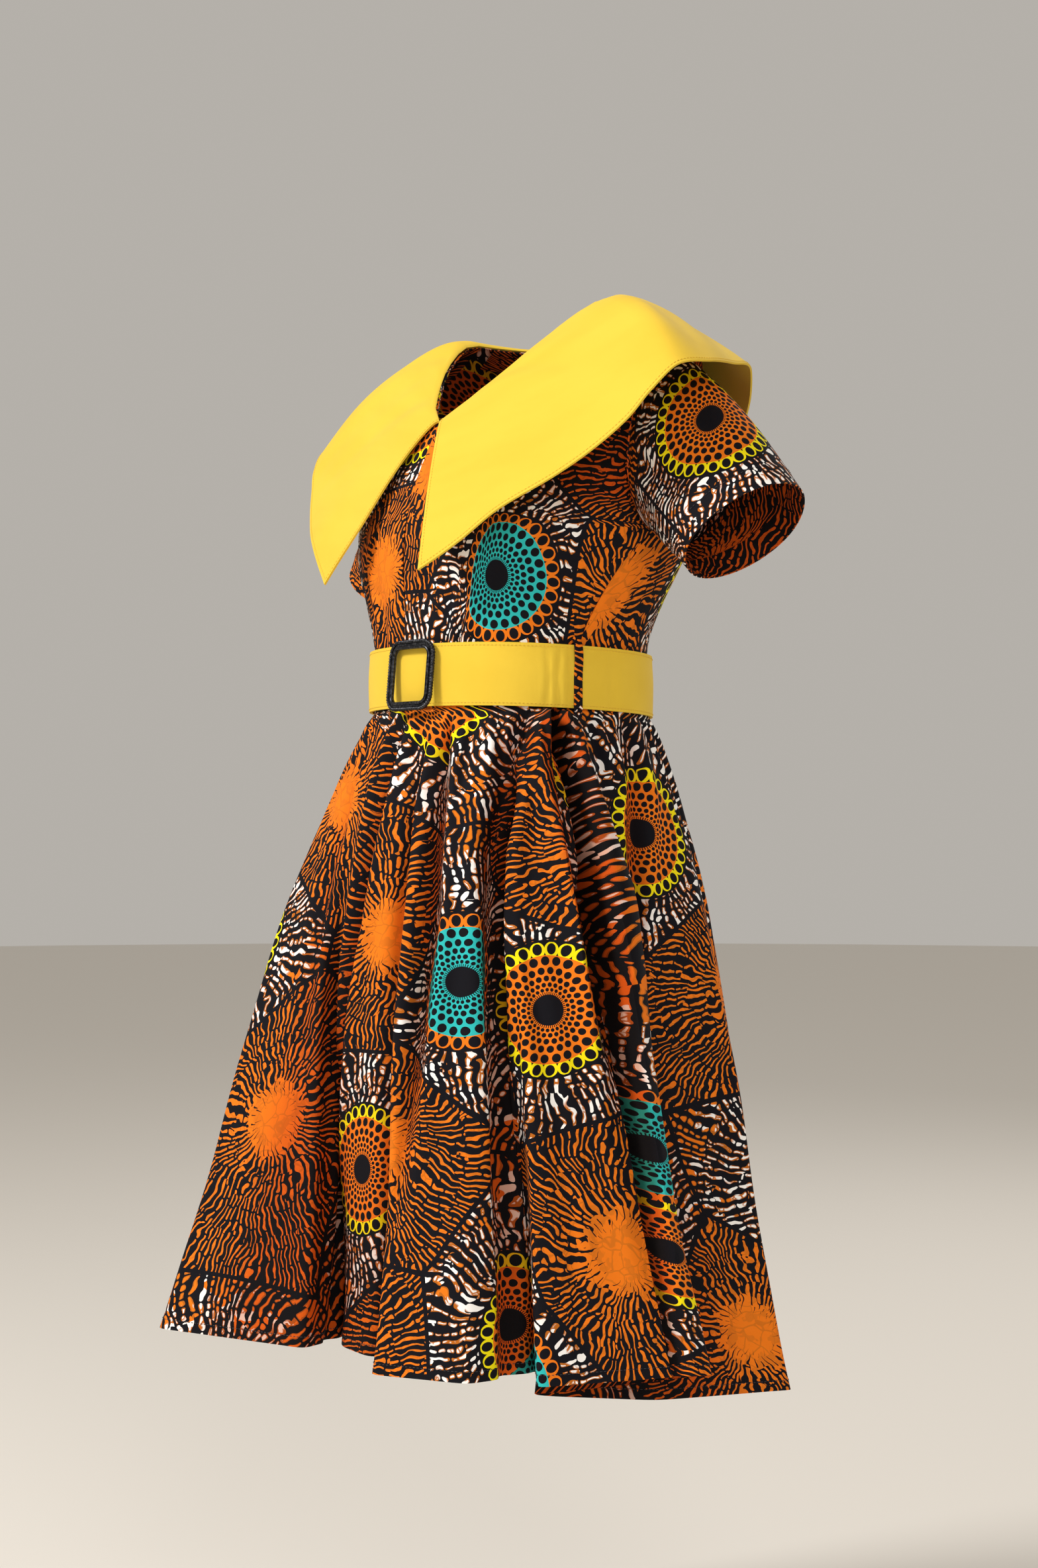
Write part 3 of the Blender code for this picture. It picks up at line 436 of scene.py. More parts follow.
def shell(name, outer, thickness, uv, closed=False, normals=None, shade=None):
    """A thin cloth shell on a grid of points, with its print coordinates."""
    if normals is None:
        normals = grid_normals(outer, closed)
    inner = outer - normals * thickness
    rows, columns = outer.shape[:2]
    offset = rows * columns
    vertices = np.concatenate((outer.reshape(-1, 3), inner.reshape(-1, 3)))
    index = np.arange(offset).reshape(rows, columns)
    if closed:
        index = np.concatenate((index, index[:, :1]), axis=1)
    low_left, low_right = index[:-1, :-1], index[:-1, 1:]
    top_left, top_right = index[1:, :-1], index[1:, 1:]
    quads = np.stack((low_left, low_right, top_right, top_left), axis=-1).reshape(-1, 4)
    uv_quads = np.stack((uv[:-1, :-1], uv[:-1, 1:], uv[1:, 1:], uv[1:, :-1]), axis=2).reshape(-1, 4, 2)
    rims, uv_rims = [], []

    def rim(line, line_uv):
        start, end = line[:-1], line[1:]
        rims.append(np.stack((end, start, start + offset, end + offset), axis=-1))
        first, second = line_uv[:-1], line_uv[1:]
        uv_rims.append(np.stack((second, first, first, second), axis=1))

    rim(index[0], uv[0])
    rim(index[-1, ::-1], uv[-1, ::-1])
    if not closed:
        rim(index[::-1, 0], uv[::-1, 0])
        rim(index[:, -1], uv[:, -1])
    faces = np.concatenate([quads, quads[:, ::-1] + offset] + rims)
    uvs = np.concatenate([uv_quads, uv_quads[:, ::-1]] + uv_rims)
    # The inside face gets at least 0.75 of painted shade
    if shade is not None:
        shade = np.concatenate((shade.ravel(), np.maximum(shade.ravel(), 0.75)))
    return add_mesh(name, vertices, faces, uvs, shade=shade)


def mirrored(grid):
    """The grid on the other side, with its columns turned round."""
    flipped = grid * np.array((-1.0, 1.0, 1.0))
    return flipped[:, ::-1]


def arc_uv(grid, reference, closed=False):
    """Lengths along the cloth from a reference column, and down it."""
    if closed:
        grid = np.concatenate((grid, grid[:, :1]), axis=1)
    across = arc_lengths(grid)
    across = across - across[:, reference:reference + 1]
    rises = np.linalg.norm(np.diff(grid[:, reference], axis=0), axis=1)
    along = np.concatenate(([0.0], np.cumsum(rises)))
    return np.stack((across, np.broadcast_to(along[:, None], across.shape)), axis=-1)


def flared_uv(uv):
    """Flattens a flared panel as a sector, so the print keeps its shape."""
    top, low = np.ptp(uv[0, :, 0]), np.ptp(uv[-1, :, 0])
    length = np.ptp(uv[:, 0, 1])
    radius = top * length / (low - top) + uv[..., 1]
    turn = uv[..., 0] / radius
    return np.stack((radius * np.sin(turn), (radius - uv[..., 1]) - radius * np.cos(turn)), axis=-1)


def stitches(name, path, lift, length=0.0024, gap=0.0011, radius=0.00028):
    """A row of short thread stitches along a path; lift holds the way out of the cloth."""
    steps = np.linalg.norm(np.diff(path, axis=0), axis=1)
    places = np.concatenate(([0.0], np.cumsum(steps)))
    starts = np.arange(0.0, places[-1] - length, length + gap)
    sides = 5
    rings = ((0.0, 0.2, -0.3), (0.2, 1.0, 0.25), (0.5, 1.1, 0.4), (0.8, 1.0, 0.25), (1.0, 0.2, -0.3))
    turns = np.arange(sides) * 2 * math.pi / sides

    along = unit(between(starts + length, places, path) - between(starts, places, path))
    out = unit(between(starts, places, lift))
    side = unit(np.cross(along, out))
    points = []
    for share, size, rise in rings:
        centre = between(starts + length * share, places, path) + out * radius * rise
        for turn in turns:
            points.append(centre + (side * math.cos(turn) + out * math.sin(turn)) * radius * size)
    points = np.stack(points, axis=1)
    count, each = points.shape[:2]
    faces = []
    for ring in range(len(rings) - 1):
        for corner in range(sides):
            beside = (corner + 1) % sides
            faces.append((ring * sides + corner, ring * sides + beside,
                          (ring + 1) * sides + beside, (ring + 1) * sides + corner))
    faces = np.array(faces)
    all_faces = (faces[None] + np.arange(count)[:, None, None] * each).reshape(-1, 4)
    return add_mesh(name, points.reshape(-1, 3), all_faces)


# Shader helpers

class Shader:
    """Short ways to add nodes to one material."""

    def __init__(self, name):
        self.material = bpy.data.materials.new(name)
        self.material.use_nodes = True
        self.tree = self.material.node_tree
        self.surface = self.tree.nodes["Principled BSDF"]

    def put(self, socket, value):
        if isinstance(value, bpy.types.NodeSocket):
            self.tree.links.new(value, socket)
        else:
            socket.default_value = value

    def math(self, operation, *values, clamp=False):
        node = self.tree.nodes.new("ShaderNodeMath")
        node.operation = operation
        node.use_clamp = clamp
        for socket, value in zip(node.inputs, values):
            self.put(socket, value)
        return node.outputs[0]

    def squares(self, first, second):
        return self.math("ADD", self.math("MULTIPLY", first, first), self.math("MULTIPLY", second, second))

    def vector(self, operation, *values):
        node = self.tree.nodes.new("ShaderNodeVectorMath")
        node.operation = operation
        for socket, value in zip(node.inputs, values):
            self.put(socket, value)
        return node.outputs["Value" if operation == "LENGTH" else 0]

    def scaled(self, vector, factor):
        node = self.tree.nodes.new("ShaderNodeVectorMath")
        node.operation = "SCALE"
        self.put(node.inputs[0], vector)
        self.put(node.inputs["Scale"], factor)
        return node.outputs[0]

    def mix(self, share, first, second, kind="RGBA", blend="MIX"):
        node = self.tree.nodes.new("ShaderNodeMix")
        node.data_type = kind
        node.blend_type = blend
        sockets = [socket for socket in node.inputs if socket.enabled]
        self.put(sockets[0], share)
        self.put(sockets[1], first)
        self.put(sockets[2], second)
        return next(socket for socket in node.outputs if socket.enabled)

    def ramp(self, value, low, high, start=0.0, end=1.0):
        node = self.tree.nodes.new("ShaderNodeMapRange")
        node.interpolation_type = "SMOOTHSTEP"
        for key, item in zip(("Value", "From Min", "From Max", "To Min", "To Max"),
                             (value, low, high, start, end)):
            self.put(node.inputs[key], item)
        return node.outputs[0]

    def noise(self, vector, scale, detail=1.0, distortion=0.0, output="Fac", dimensions="3D"):
        node = self.tree.nodes.new("ShaderNodeTexNoise")
        node.noise_dimensions = dimensions
        self.put(node.inputs["Vector"], vector)
        node.inputs["Scale"].default_value = scale
        node.inputs["Detail"].default_value = detail
        node.inputs["Distortion"].default_value = distortion
        return node.outputs[output]

    def split(self, vector):
        node = self.tree.nodes.new("ShaderNodeSeparateXYZ")
        self.put(node.inputs[0], vector)
        return node.outputs

    def join(self, x, y, z):
        node = self.tree.nodes.new("ShaderNodeCombineXYZ")
        for socket, value in zip(node.inputs, (x, y, z)):
            self.put(socket, value)
        return node.outputs[0]

    def voronoi(self, vector, scale=1.0):
        node = self.tree.nodes.new("ShaderNodeTexVoronoi")
        node.feature = "DISTANCE_TO_EDGE"
        node.inputs["Scale"].default_value = scale
        self.put(node.inputs["Vector"], vector)
        return node.outputs["Distance"]

    def chance(self, vector):
        node = self.tree.nodes.new("ShaderNodeTexWhiteNoise")
        node.noise_dimensions = "3D"
        self.put(node.inputs["Vector"], vector)
        return node.outputs["Value"]

    # Reads the amount of painted shade stored at each point
    def depth(self):
        node = self.tree.nodes.new("ShaderNodeAttribute")
        node.attribute_name = "shade"
        return node.outputs["Fac"]

    def uv(self):
        node = self.tree.nodes.new("ShaderNodeUVMap")
        node.uv_map = "print"
        return node.outputs[0]

    def bump(self, height, distance, strength=1.0):
        node = self.tree.nodes.new("ShaderNodeBump")
        node.inputs["Distance"].default_value = distance
        node.inputs["Strength"].default_value = strength
        self.put(node.inputs["Height"], height)
        self.put(self.surface.inputs["Normal"], node.outputs[0])


NAVY = (0.0042, 0.0038, 0.0068, 1.0)
ORANGE = (0.87, 0.198, 0.008, 1.0)
OCHRE = (0.50, 0.135, 0.009, 1.0)
CREAM = (0.97, 0.94, 0.90, 1.0)
YELLOW = (0.93, 0.78, 0.004, 1.0)
TEAL = (0.028, 0.50, 0.49, 1.0)
# Colour that the painted shade multiplies into the print in folds and recesses
PAINTED_SHADE_TINT = (0.62, 0.28, 0.17, 1.0)
MEDALLION_RADIUS = 0.058
MEDALLION_SPOKES = 27.0
RING_RATIO = 0.80
STREAK_BAND = 0.034
STREAK_GROWTH = 1.45
STREAK_COUNT = 33.0
BURST_STREAK_COUNT = 44.0

# What a cell of the print holds
YELLOW_EYE, TEAL_EYE, BURST = 0.0, 1.0, 2.0


def weave(shader, place, strength=0.35):
    """Fine crossing threads with slubs, for bump."""
    parts = shader.split(place)
    threads = []
    for part, pitch in ((parts[0], 0.00062), (parts[1], 0.00070)):
        wave = shader.math("SINE", shader.math("MULTIPLY", part, math.pi / pitch))
        threads.append(shader.math("ABSOLUTE", wave))
    slub = shader.noise(place, 260.0, 2.0)
    return shader.math("ADD", shader.math("MULTIPLY", shader.math("MAXIMUM", *threads), 0.5), slub)


def print_material(name, centres):
    """Wax print cotton: rings of ovals, and streaks that burst from the cell centres."""
    s = Shader(name)
    place = s.uv()
    wander = s.vector("SUBTRACT", s.noise(place, 105.0, 0.5, output="Color"), (0.5, 0.5, 0.5))
    sway = s.vector("SUBTRACT", s.noise(place, 27.0, 0.0, output="Color"), (0.5, 0.5, 0.5))
    nearest, second, kind, local = 9.0, 9.0, 0.0, (0.0, 0.0, 0.0)
    for x, y, what in centres:
        offset = s.vector("SUBTRACT", place, (x, y, 0.0))
        distance = s.vector("LENGTH", offset)
        closer = s.math("LESS_THAN", distance, nearest)
        second = s.math("MINIMUM", second, s.math("MAXIMUM", distance, nearest))
        kind = s.mix(closer, kind, what, "FLOAT")
        local = s.mix(closer, local, offset, "VECTOR")
        nearest = s.math("MINIMUM", distance, nearest)
    border = s.math("SUBTRACT", second, nearest)
    is_burst = s.math("GREATER_THAN", kind, 1.5)
    is_teal = s.math("MULTIPLY", s.math("GREATER_THAN", kind, 0.5), s.math("LESS_THAN", kind, 1.5))

    # The medallion's rings
    parts = s.split(local)
    turn = s.math("DIVIDE", s.math("ARCTAN2", parts[1], parts[0]), 2 * math.pi)
    radius = s.math("DIVIDE", nearest, MEDALLION_RADIUS)
    rings = s.math("LOGARITHM", s.math("MAXIMUM", radius, 0.01), math.e)
    rings = s.math("DIVIDE", rings, math.log(RING_RATIO))
    ring = s.math("FLOOR", rings)
    radial = s.math("SUBTRACT", s.math("FRACT", rings), 0.5)
    shift = s.math("MULTIPLY", s.math("MODULO", ring, 2.0), 0.5)
    spokes = s.math("ADD", s.math("MULTIPLY", turn, MEDALLION_SPOKES), shift)
    spoke = s.math("SUBTRACT", s.math("FRACT", s.math("ADD", spokes, MEDALLION_SPOKES)), 0.5)

    def oval(half_radial, half_across, centre=0.0):
        long_way = s.math("DIVIDE", s.math("SUBTRACT", radial, centre), half_radial)
        cross_way = s.math("DIVIDE", spoke, half_across)
        return s.math("LESS_THAN", s.squares(long_way, cross_way), 1.0)

    first_ring = s.math("LESS_THAN", rings, 1.0)
    petal = s.math("MULTIPLY", oval(0.60, 0.52, 0.10), first_ring)
    petal_hole = s.math("MULTIPLY", oval(0.42, 0.32, 0.02), first_ring)
    dot = s.math("MULTIPLY", oval(0.42, 0.37), s.math("SUBTRACT", 1.0, first_ring))
    core = s.math("LESS_THAN", radius, 0.225)
    tick = s.math("MULTIPLY", s.math("LESS_THAN", radius, 0.262),
                  s.math("LESS_THAN", s.math("FRACT", s.math("MULTIPLY", turn, 54.0)), 0.45))
    loud = s.math("GREATER_THAN", radius, 0.262)
    dark = s.math("MAXIMUM", s.math("MAXIMUM", core, tick), s.math("MULTIPLY", dot, loud))
    disc = s.mix(is_teal, ORANGE, TEAL)
    rim = s.mix(is_teal, YELLOW, ORANGE)
    petals = s.mix(petal_hole, s.mix(petal, NAVY, rim), NAVY)
    eye = s.mix(first_ring, s.mix(dark, disc, NAVY), petals)
    in_eye = s.math("MULTIPLY", s.math("LESS_THAN", radius, 1.03), s.math("SUBTRACT", 1.0, is_burst))
    eye = s.mix(s.math("GREATER_THAN", radius, 0.995), eye, NAVY)

    # Wavy streaks away from the centre: rows of capsules whose number grows with the distance
    bent = s.vector("ADD", local, s.vector("ADD", s.scaled(wander, 0.0075), s.scaled(sway, 0.024)))
    bent_parts = s.split(bent)
    bent_turn = s.math("DIVIDE", s.math("ARCTAN2", bent_parts[1], bent_parts[0]), 2 * math.pi)
    far = s.math("ADD", nearest, s.math("MULTIPLY", s.split(wander)[2], 0.024))
    growth = s.math("DIVIDE", s.math("MAXIMUM", far, 0.004), STREAK_BAND)
    band = s.math("FLOOR", s.math("DIVIDE", s.math("LOGARITHM", growth, math.e), math.log(STREAK_GROWTH)))
    count = s.mix(is_burst, STREAK_COUNT, BURST_STREAK_COUNT, "FLOAT")
    count = s.math("FLOOR", s.math("MULTIPLY", s.math("POWER", STREAK_GROWTH, band), count))
    spot = s.math("MULTIPLY", s.math("ADD", bent_turn, 0.5), count)
    row = s.math("FLOOR", spot)
    spacing = s.math("MULTIPLY", s.math("DIVIDE", nearest, count), 2 * math.pi)
    sideways = s.math("ABSOLUTE", s.math("SUBTRACT", s.math("FRACT", spot), 0.5))
    sideways = s.math("MULTIPLY", sideways, spacing)
    row_chance = s.chance(s.join(row, band, 3.7))
    length = s.math("ADD", 0.0065, s.math("MULTIPLY", s.math("MULTIPLY", row_chance, row_chance), 0.030))
    length = s.math("MULTIPLY", length, s.mix(is_burst, 1.0, 1.7, "FLOAT"))
    run = s.math("ADD", s.math("DIVIDE", nearest, length), s.math("MULTIPLY", row_chance, 9.3))
    to_end = s.math("SUBTRACT", 0.5, s.math("ABSOLUTE", s.math("SUBTRACT", s.math("FRACT", run), 0.5)))
    to_end = s.math("MULTIPLY", to_end, length)
    size_chance = s.chance(s.join(row, s.math("FLOOR", run), band))
    lump = s.noise(place, 52.0, 1.0)
    widest = s.math("SUBTRACT", s.math("MULTIPLY", spacing, 0.5), 0.0013)
    wanted = s.math("ADD", s.math("ADD", 0.0007, s.math("MULTIPLY", size_chance, 0.0008)),
                    s.ramp(lump, 0.36, 0.64, 0.0, 0.0006))
    half = s.math("MAXIMUM", s.math("MINIMUM", widest, wanted), 0.0006)
    thinner = s.ramp(nearest, 0.035, 0.080, 1.0, 0.74)
    half = s.math("MULTIPLY", half, s.mix(is_burst, 1.18, thinner, "FLOAT"))
    past = s.math("MAXIMUM", s.math("SUBTRACT", s.math("ADD", half, 0.0007), to_end), 0.0)
    reach = s.math("SQRT", s.squares(sideways, past))
    above = s.math("SUBTRACT", half, reach)
    mark = s.math("MULTIPLY", s.math("GREATER_THAN", above, 0.0), s.math("GREATER_THAN", border, 0.0035))
    near_centre = s.math("MULTIPLY", is_burst, s.math("LESS_THAN", far, STREAK_BAND))
    dash = s.math("GREATER_THAN", above, s.math("MULTIPLY", half, s.ramp(nearest, 0.014, 0.036, 1.0, 0.42)))
    mark = s.mix(near_centre, mark, s.math("SUBTRACT", 1.0, dash), "FLOAT")
    patch = s.ramp(s.noise(place, 60.0, 1.0), 0.40, 0.48)
    edge = s.math("LESS_THAN", above, 0.00075)
    crack = s.voronoi(s.vector("ADD", place, s.scaled(wander, 0.004)), 95.0)
    vein = s.ramp(crack, 0.03, 0.09, 1.0, 0.0)
    stained = s.math("MULTIPLY", patch, s.math("MAXIMUM", edge, vein))
    cream = s.mix(stained, CREAM, OCHRE)
    outward = s.math("ADD", nearest, s.math("MULTIPLY", s.math("SUBTRACT", lump, 0.5), 0.16))
    warm = s.mix(s.math("MULTIPLY", edge, patch), ORANGE, OCHRE)
    cream = s.mix(s.math("GREATER_THAN", outward, 0.118), cream, warm)
    wide_crack = s.voronoi(s.vector("ADD", place, s.scaled(wander, 0.006)), 72.0)
    wide_vein = s.ramp(wide_crack, 0.02, 0.06, 1.0, 0.0)
    stain = s.math("MULTIPLY", s.ramp(s.noise(place, 70.0, 2.0), 0.54, 0.58), 0.40)
    burst = s.mix(s.math("MAXIMUM", s.math("MULTIPLY", wide_vein, 0.55), stain), ORANGE, OCHRE)
    streaks = s.mix(is_burst, cream, burst)
    colour = s.mix(in_eye, s.mix(mark, NAVY, streaks), eye)

    # Painted shade: where the shade attribute is high the colour is darkened and reddened, as shade and
    # light passed through the cloth do in deep folds
    painted_shade_amount = s.ramp(s.depth(), 0.15, 0.85)
    shaded = s.mix(s.math("MULTIPLY", painted_shade_amount, 0.85), colour, PAINTED_SHADE_TINT, blend="MULTIPLY")
    s.put(s.surface.inputs["Base Color"], shaded)
    s.surface.inputs["Roughness"].default_value = 0.82
    s.surface.inputs["Specular IOR Level"].default_value = 0.16
    s.bump(weave(s, place), 0.00022, 0.6)
    return s.material


def plain_material(name):
    """Closely woven yellow cotton."""
    s = Shader(name)
    place = s.uv()
    tone = s.ramp(s.noise(place, 11.0, 3.0), 0.3, 0.7)
    colour = s.mix(tone, (0.78, 0.520, 0.036, 1.0), (0.83, 0.565, 0.046, 1.0))
    s.put(s.surface.inputs["Base Color"], colour)
    s.surface.inputs["Roughness"].default_value = 0.80
    s.surface.inputs["Specular IOR Level"].default_value = 0.25
    s.surface.inputs["Sheen Weight"].default_value = 0.05
    s.surface.inputs["Sheen Roughness"].default_value = 0.5
    s.bump(weave(s, place), 0.0002, 0.5)
    return s.material


def thread_material(name, colour):
    s = Shader(name)
    node = s.tree.nodes.new("ShaderNodeTexCoord")
    twist = s.noise(node.outputs["Object"], 1800.0, 1.0)
    s.put(s.surface.inputs["Base Color"], s.mix(twist, colour, tuple(c * 0.8 for c in colour[:3]) + (1.0,)))
    s.surface.inputs["Roughness"].default_value = 0.6
    return s.material


def metal_material(name):
    s = Shader(name)
    node = s.tree.nodes.new("ShaderNodeTexCoord")
    worn = s.noise(node.outputs["Object"], 420.0, 3.0)
    colour = s.mix(s.ramp(worn, 0.4, 0.7), (0.020, 0.021, 0.025, 1.0), (0.075, 0.075, 0.082, 1.0))
    s.put(s.surface.inputs["Base Color"], colour)
    s.put(s.surface.inputs["Roughness"], s.ramp(worn, 0.3, 0.7, 0.24, 0.40))
    s.surface.inputs["Metallic"].default_value = 0.9
    return s.material


def finish(piece, material, node=None):
    """Gives a piece its material, its body and the node it stands for."""
    piece.data.materials.append(material)
    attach(piece, "root")
    if node:
        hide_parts(node)
    return piece


# Camera, floor and light

CAMERA_TURN_DEG = 55.0
CAMERA_DISTANCE = 2.15
CAMERA_HEIGHT = -0.4575
PICTURE_WIDTH, PICTURE_HEIGHT = 1568.0, 2368.0
FOCUS = 3525.0
AIM = (772.0, 1240.0)
SENSOR_MM = 36.0


def build_camera():
    camera = bpy.data.objects.new("camera", bpy.data.cameras.new("camera"))
    bpy.context.scene.collection.objects.link(camera)
    turn = math.radians(CAMERA_TURN_DEG)
    away = (math.sin(turn), -math.cos(turn), 0.0)
    right = (math.cos(turn), math.sin(turn), 0.0)
    camera.matrix_world = Matrix((
        (right[0], 0.0, away[0], away[0] * CAMERA_DISTANCE),
        (right[1], 0.0, away[1], away[1] * CAMERA_DISTANCE),
        (0.0, 1.0, 0.0, CAMERA_HEIGHT),
        (0.0, 0.0, 0.0, 1.0)))
    camera.data.sensor_width = SENSOR_MM
    camera.data.lens = FOCUS / PICTURE_HEIGHT * SENSOR_MM
    camera.data.shift_x = (PICTURE_WIDTH / 2 - AIM[0]) / PICTURE_HEIGHT
    camera.data.shift_y = (AIM[1] - PICTURE_HEIGHT / 2) / PICTURE_HEIGHT
    camera.data.clip_start = 0.01
    camera.data.clip_end = 60.0
    bpy.context.scene.camera = camera


def area_light(name, place, target, size, power, colour):
    data = bpy.data.lights.new(name, "AREA")
    data.shape = "DISK"
    data.size = size
    data.energy = power
    data.color = colour
    lamp = bpy.data.objects.new(name, data)
    bpy.context.scene.collection.objects.link(lamp)
    lamp.location = place
    way = np.array(target, dtype=float) - np.array(place, dtype=float)
    way = way / np.linalg.norm(way)
    side = unit(np.cross(way, (0.0, 0.0, 1.0)))
    up = np.cross(side, way)
    lamp.matrix_world = Matrix((
        (side[0], up[0], -way[0], place[0]),
        (side[1], up[1], -way[1], place[1]),
        (side[2], up[2], -way[2], place[2]),
        (0.0, 0.0, 0.0, 1.0)))


def build_studio():
    turns = np.arange(64) * 2 * math.pi / 64
    points = [(14 * math.cos(turn), 14 * math.sin(turn), -1.3) for turn in turns]
    floor = add_mesh("floor", points, [list(range(64))])
    pale = Shader("pale_floor")
    pale.surface.inputs["Base Color"].default_value = (0.80, 0.76, 0.70, 1.0)
    pale.surface.inputs["Roughness"].default_value = 0.9
    floor.data.materials.append(pale.material)
    world = bpy.data.worlds.new("studio")
    world.use_nodes = True
    world.node_tree.nodes["Background"].inputs["Color"].default_value = (0.92, 0.87, 0.80, 1.0)
    world.node_tree.nodes["Background"].inputs["Strength"].default_value = 0.50
    bpy.context.scene.world = world
    target = (0.0, 0.0, -0.45)
    area_light("key", (-0.5, -3.0, 1.9), target, 1.0, 115.0, (1.0, 0.98, 0.95))
    area_light("fill", (3.2, -1.4, 0.9), target, 1.6, 38.0, (1.0, 0.97, 0.94))
    area_light("back", (-1.2, 3.0, 1.6), target, 1.6, 26.0, (1.0, 0.98, 0.96))
    bpy.context.scene.view_settings.view_transform = "Standard"


# Where the print's cells lie on each panel: place in the flat panel, and what it holds
FRONT_LEFT_CELLS = (
    (0.131, 0.088, TEAL_EYE), (0.02, 0.196, BURST), (0.275, 0.225, BURST), (0.268, 0.062, BURST),
    (0.012, -0.04, YELLOW_EYE), (0.12, 0.32, YELLOW_EYE),
)
FRONT_RIGHT_CELLS = (
    (-0.027, 0.101, BURST), (-0.168, 0.055, YELLOW_EYE), (-0.122, 0.228, TEAL_EYE), (-0.235, 0.19, BURST),
    (-0.02, 0.262, YELLOW_EYE), (-0.06, -0.06, TEAL_EYE),
)
BACK_CELLS = (
    (-0.222, 0.06, BURST), (-0.098, 0.11, YELLOW_EYE), (0.028, 0.04, BURST), (0.15, 0.118, TEAL_EYE),
    (0.04, 0.222, BURST), (-0.11, 0.29, TEAL_EYE), (0.18, 0.27, YELLOW_EYE), (-0.215, 0.19, BURST),
)
SLEEVE_CELLS = (
    (0.029, 0.091, YELLOW_EYE), (0.205, 0.095, TEAL_EYE), (-0.15, 0.15, BURST), (-0.13, 0, YELLOW_EYE),
    (0.12, -0.07, BURST), (0.035, 0.275, BURST),
)
SKIRT_FRONT_CELLS = (
    (0.03, -0.01, YELLOW_EYE), (0.155, -0.243, TEAL_EYE), (0.288, -0.23, YELLOW_EYE),
    (0.003, -0.435, YELLOW_EYE), (0.362, -0.528, TEAL_EYE), (0.31, -0.5, YELLOW_EYE),
    (-0.172, -0.388, BURST), (0.42, -0.384, BURST), (-0.01, -0.227, BURST), (-0.157, -0.1, BURST),
    (0.268, -0.092, BURST), (0.103, -0.4, BURST), (0.12, -0.585, BURST), (-0.27, -0.22, YELLOW_EYE),
    (-0.33, -0.36, TEAL_EYE), (-0.42, -0.48, BURST), (-0.25, -0.652, YELLOW_EYE),
    (-0.5, -0.33, YELLOW_EYE), (-0.25, -0.02, TEAL_EYE), (0.52, -0.56, YELLOW_EYE),
)
SKIRT_BACK_CELLS = (
    (-0.168, -0.098, YELLOW_EYE), (-0.13, -0.27, BURST), (-0.458, -0.286, TEAL_EYE),
    (-0.55, -0.345, YELLOW_EYE), (-0.303, -0.551, BURST), (-0.6, -0.5, BURST), (-0.4, -0.43, YELLOW_EYE),
    (-0.04, -0.185, TEAL_EYE), (0.07, -0.06, BURST), (0.15, -0.215, YELLOW_EYE), (0.02, -0.32, BURST),
    (-0.165, -0.45, YELLOW_EYE), (-0.02, -0.52, TEAL_EYE), (0.135, -0.44, BURST), (0.27, -0.33, TEAL_EYE),
    (0.29, -0.54, YELLOW_EYE), (0.24, -0.08, BURST),
)

# Creases: depth, half width and cloth folded away in millimetres, then points of the line
# they follow: share of the way along the piece, place across it
SKIRT_CREASES = (
    (21, 10, 40, ((0, 60), (0.08, 53.6), (0.15, 49.8), (0.22, 46.8), (0.5, 46), (1.2, 45))),
    (17, 9, 45, ((0.02, 24), (0.14, 28.5), (0.3, 31), (0.55, 30), (0.82, 27.5))),
    (16, 8.5, 30, ((0, 1), (0.16, 1.5), (0.34, -1.5), (0.55, -9), (0.75, -16), (1.1, -22))),
    (6, 8, 10, ((0.04, 15), (0.2, 17), (0.48, 15))),
    (4, 6, 0, ((0, 69), (0.12, 66), (0.34, 64))),
    (5, 8, 0, ((0.05, -24), (0.25, -28), (0.6, -30))),
    (3.5, 7, 0, ((0.3, 56), (0.6, 60), (1, 61.5))),
    (4, 9, 0, ((0.55, 70), (0.8, 71), (1.01, 71.5))),
    (12, 8.5, 30, ((0, -52), (0.18, -50), (0.6, -47))),
    (6, 8, 0, ((0, -78), (0.2, -76), (0.5, -75))),
    (12, 8.5, 30, ((0, 100), (0.18, 98), (0.55, 96))),
    (6, 8, 0, ((0.02, 126), (0.25, 128), (0.62, 127))),
    (12, 9, 30, ((0, 155), (0.2, 157), (0.66, 158))),
    (7, 8, 0, ((0.01, 188), (0.22, 190), (0.58, 191))),
    (12, 8.5, 30, ((0, 221), (0.2, 219), (0.6, 221))),
    (5.5, 8, 0, ((0.03, 250), (0.24, 251), (0.5, 252))),
)
BODICE_LEFT_CREASES = (
    (1.6, 26, 46, ((-0.3, 0.1), (0.09, 0.104), (0.26, 0.108), (0.52, 0.112))),
    (2.4, 3, 6, ((-0.1, 0.101), (0.09, 0.103), (0.36, 0.11))),
    (2.6, 5, 0, ((-0.04, 0.082), (0.12, 0.081), (0.34, 0.084))),
    (2.6, 6, 0, ((-0.04, 0.128), (0.12, 0.127), (0.3, 0.13))),
    (2.2, 9, 0, ((0.14, 0.04), (0.34, 0.048), (0.55, 0.062))),
    (3, 10, 0, ((0.22, 0.15), (0.38, 0.165), (0.55, 0.178))),
)
BODICE_RIGHT_CREASES = (
    (2.8, 3, 24, ((0, 0.088), (0.09, 0.084), (0.26, 0.08), (0.4, 0.076))),
    (1.8, 3.4, 0, ((0, 0.096), (0.09, 0.092), (0.3, 0.088))),
    (2.6, 8, 0, ((0.05, 0.06), (0.2, 0.056), (0.38, 0.058))),
    (3, 10, 0, ((0.2, 0.136), (0.38, 0.158), (0.56, 0.172))),
)
BODICE_BACK_CREASES = (
    (2.6, 3, 0, ((0, -0.082), (0.1, -0.08), (0.42, -0.074))),
    (2.6, 3, 0, ((0, 0.08), (0.1, 0.079), (0.4, 0.074))),
    (3, 11, 0, ((0.05, -0.02), (0.2, -0.026), (0.4, -0.02))),
    (3, 11, 0, ((0.08, 0.034), (0.22, 0.03), (0.42, 0.036))),
    (3, 10, 0, ((0.22, 0.15), (0.38, 0.165), (0.55, 0.178))),
)
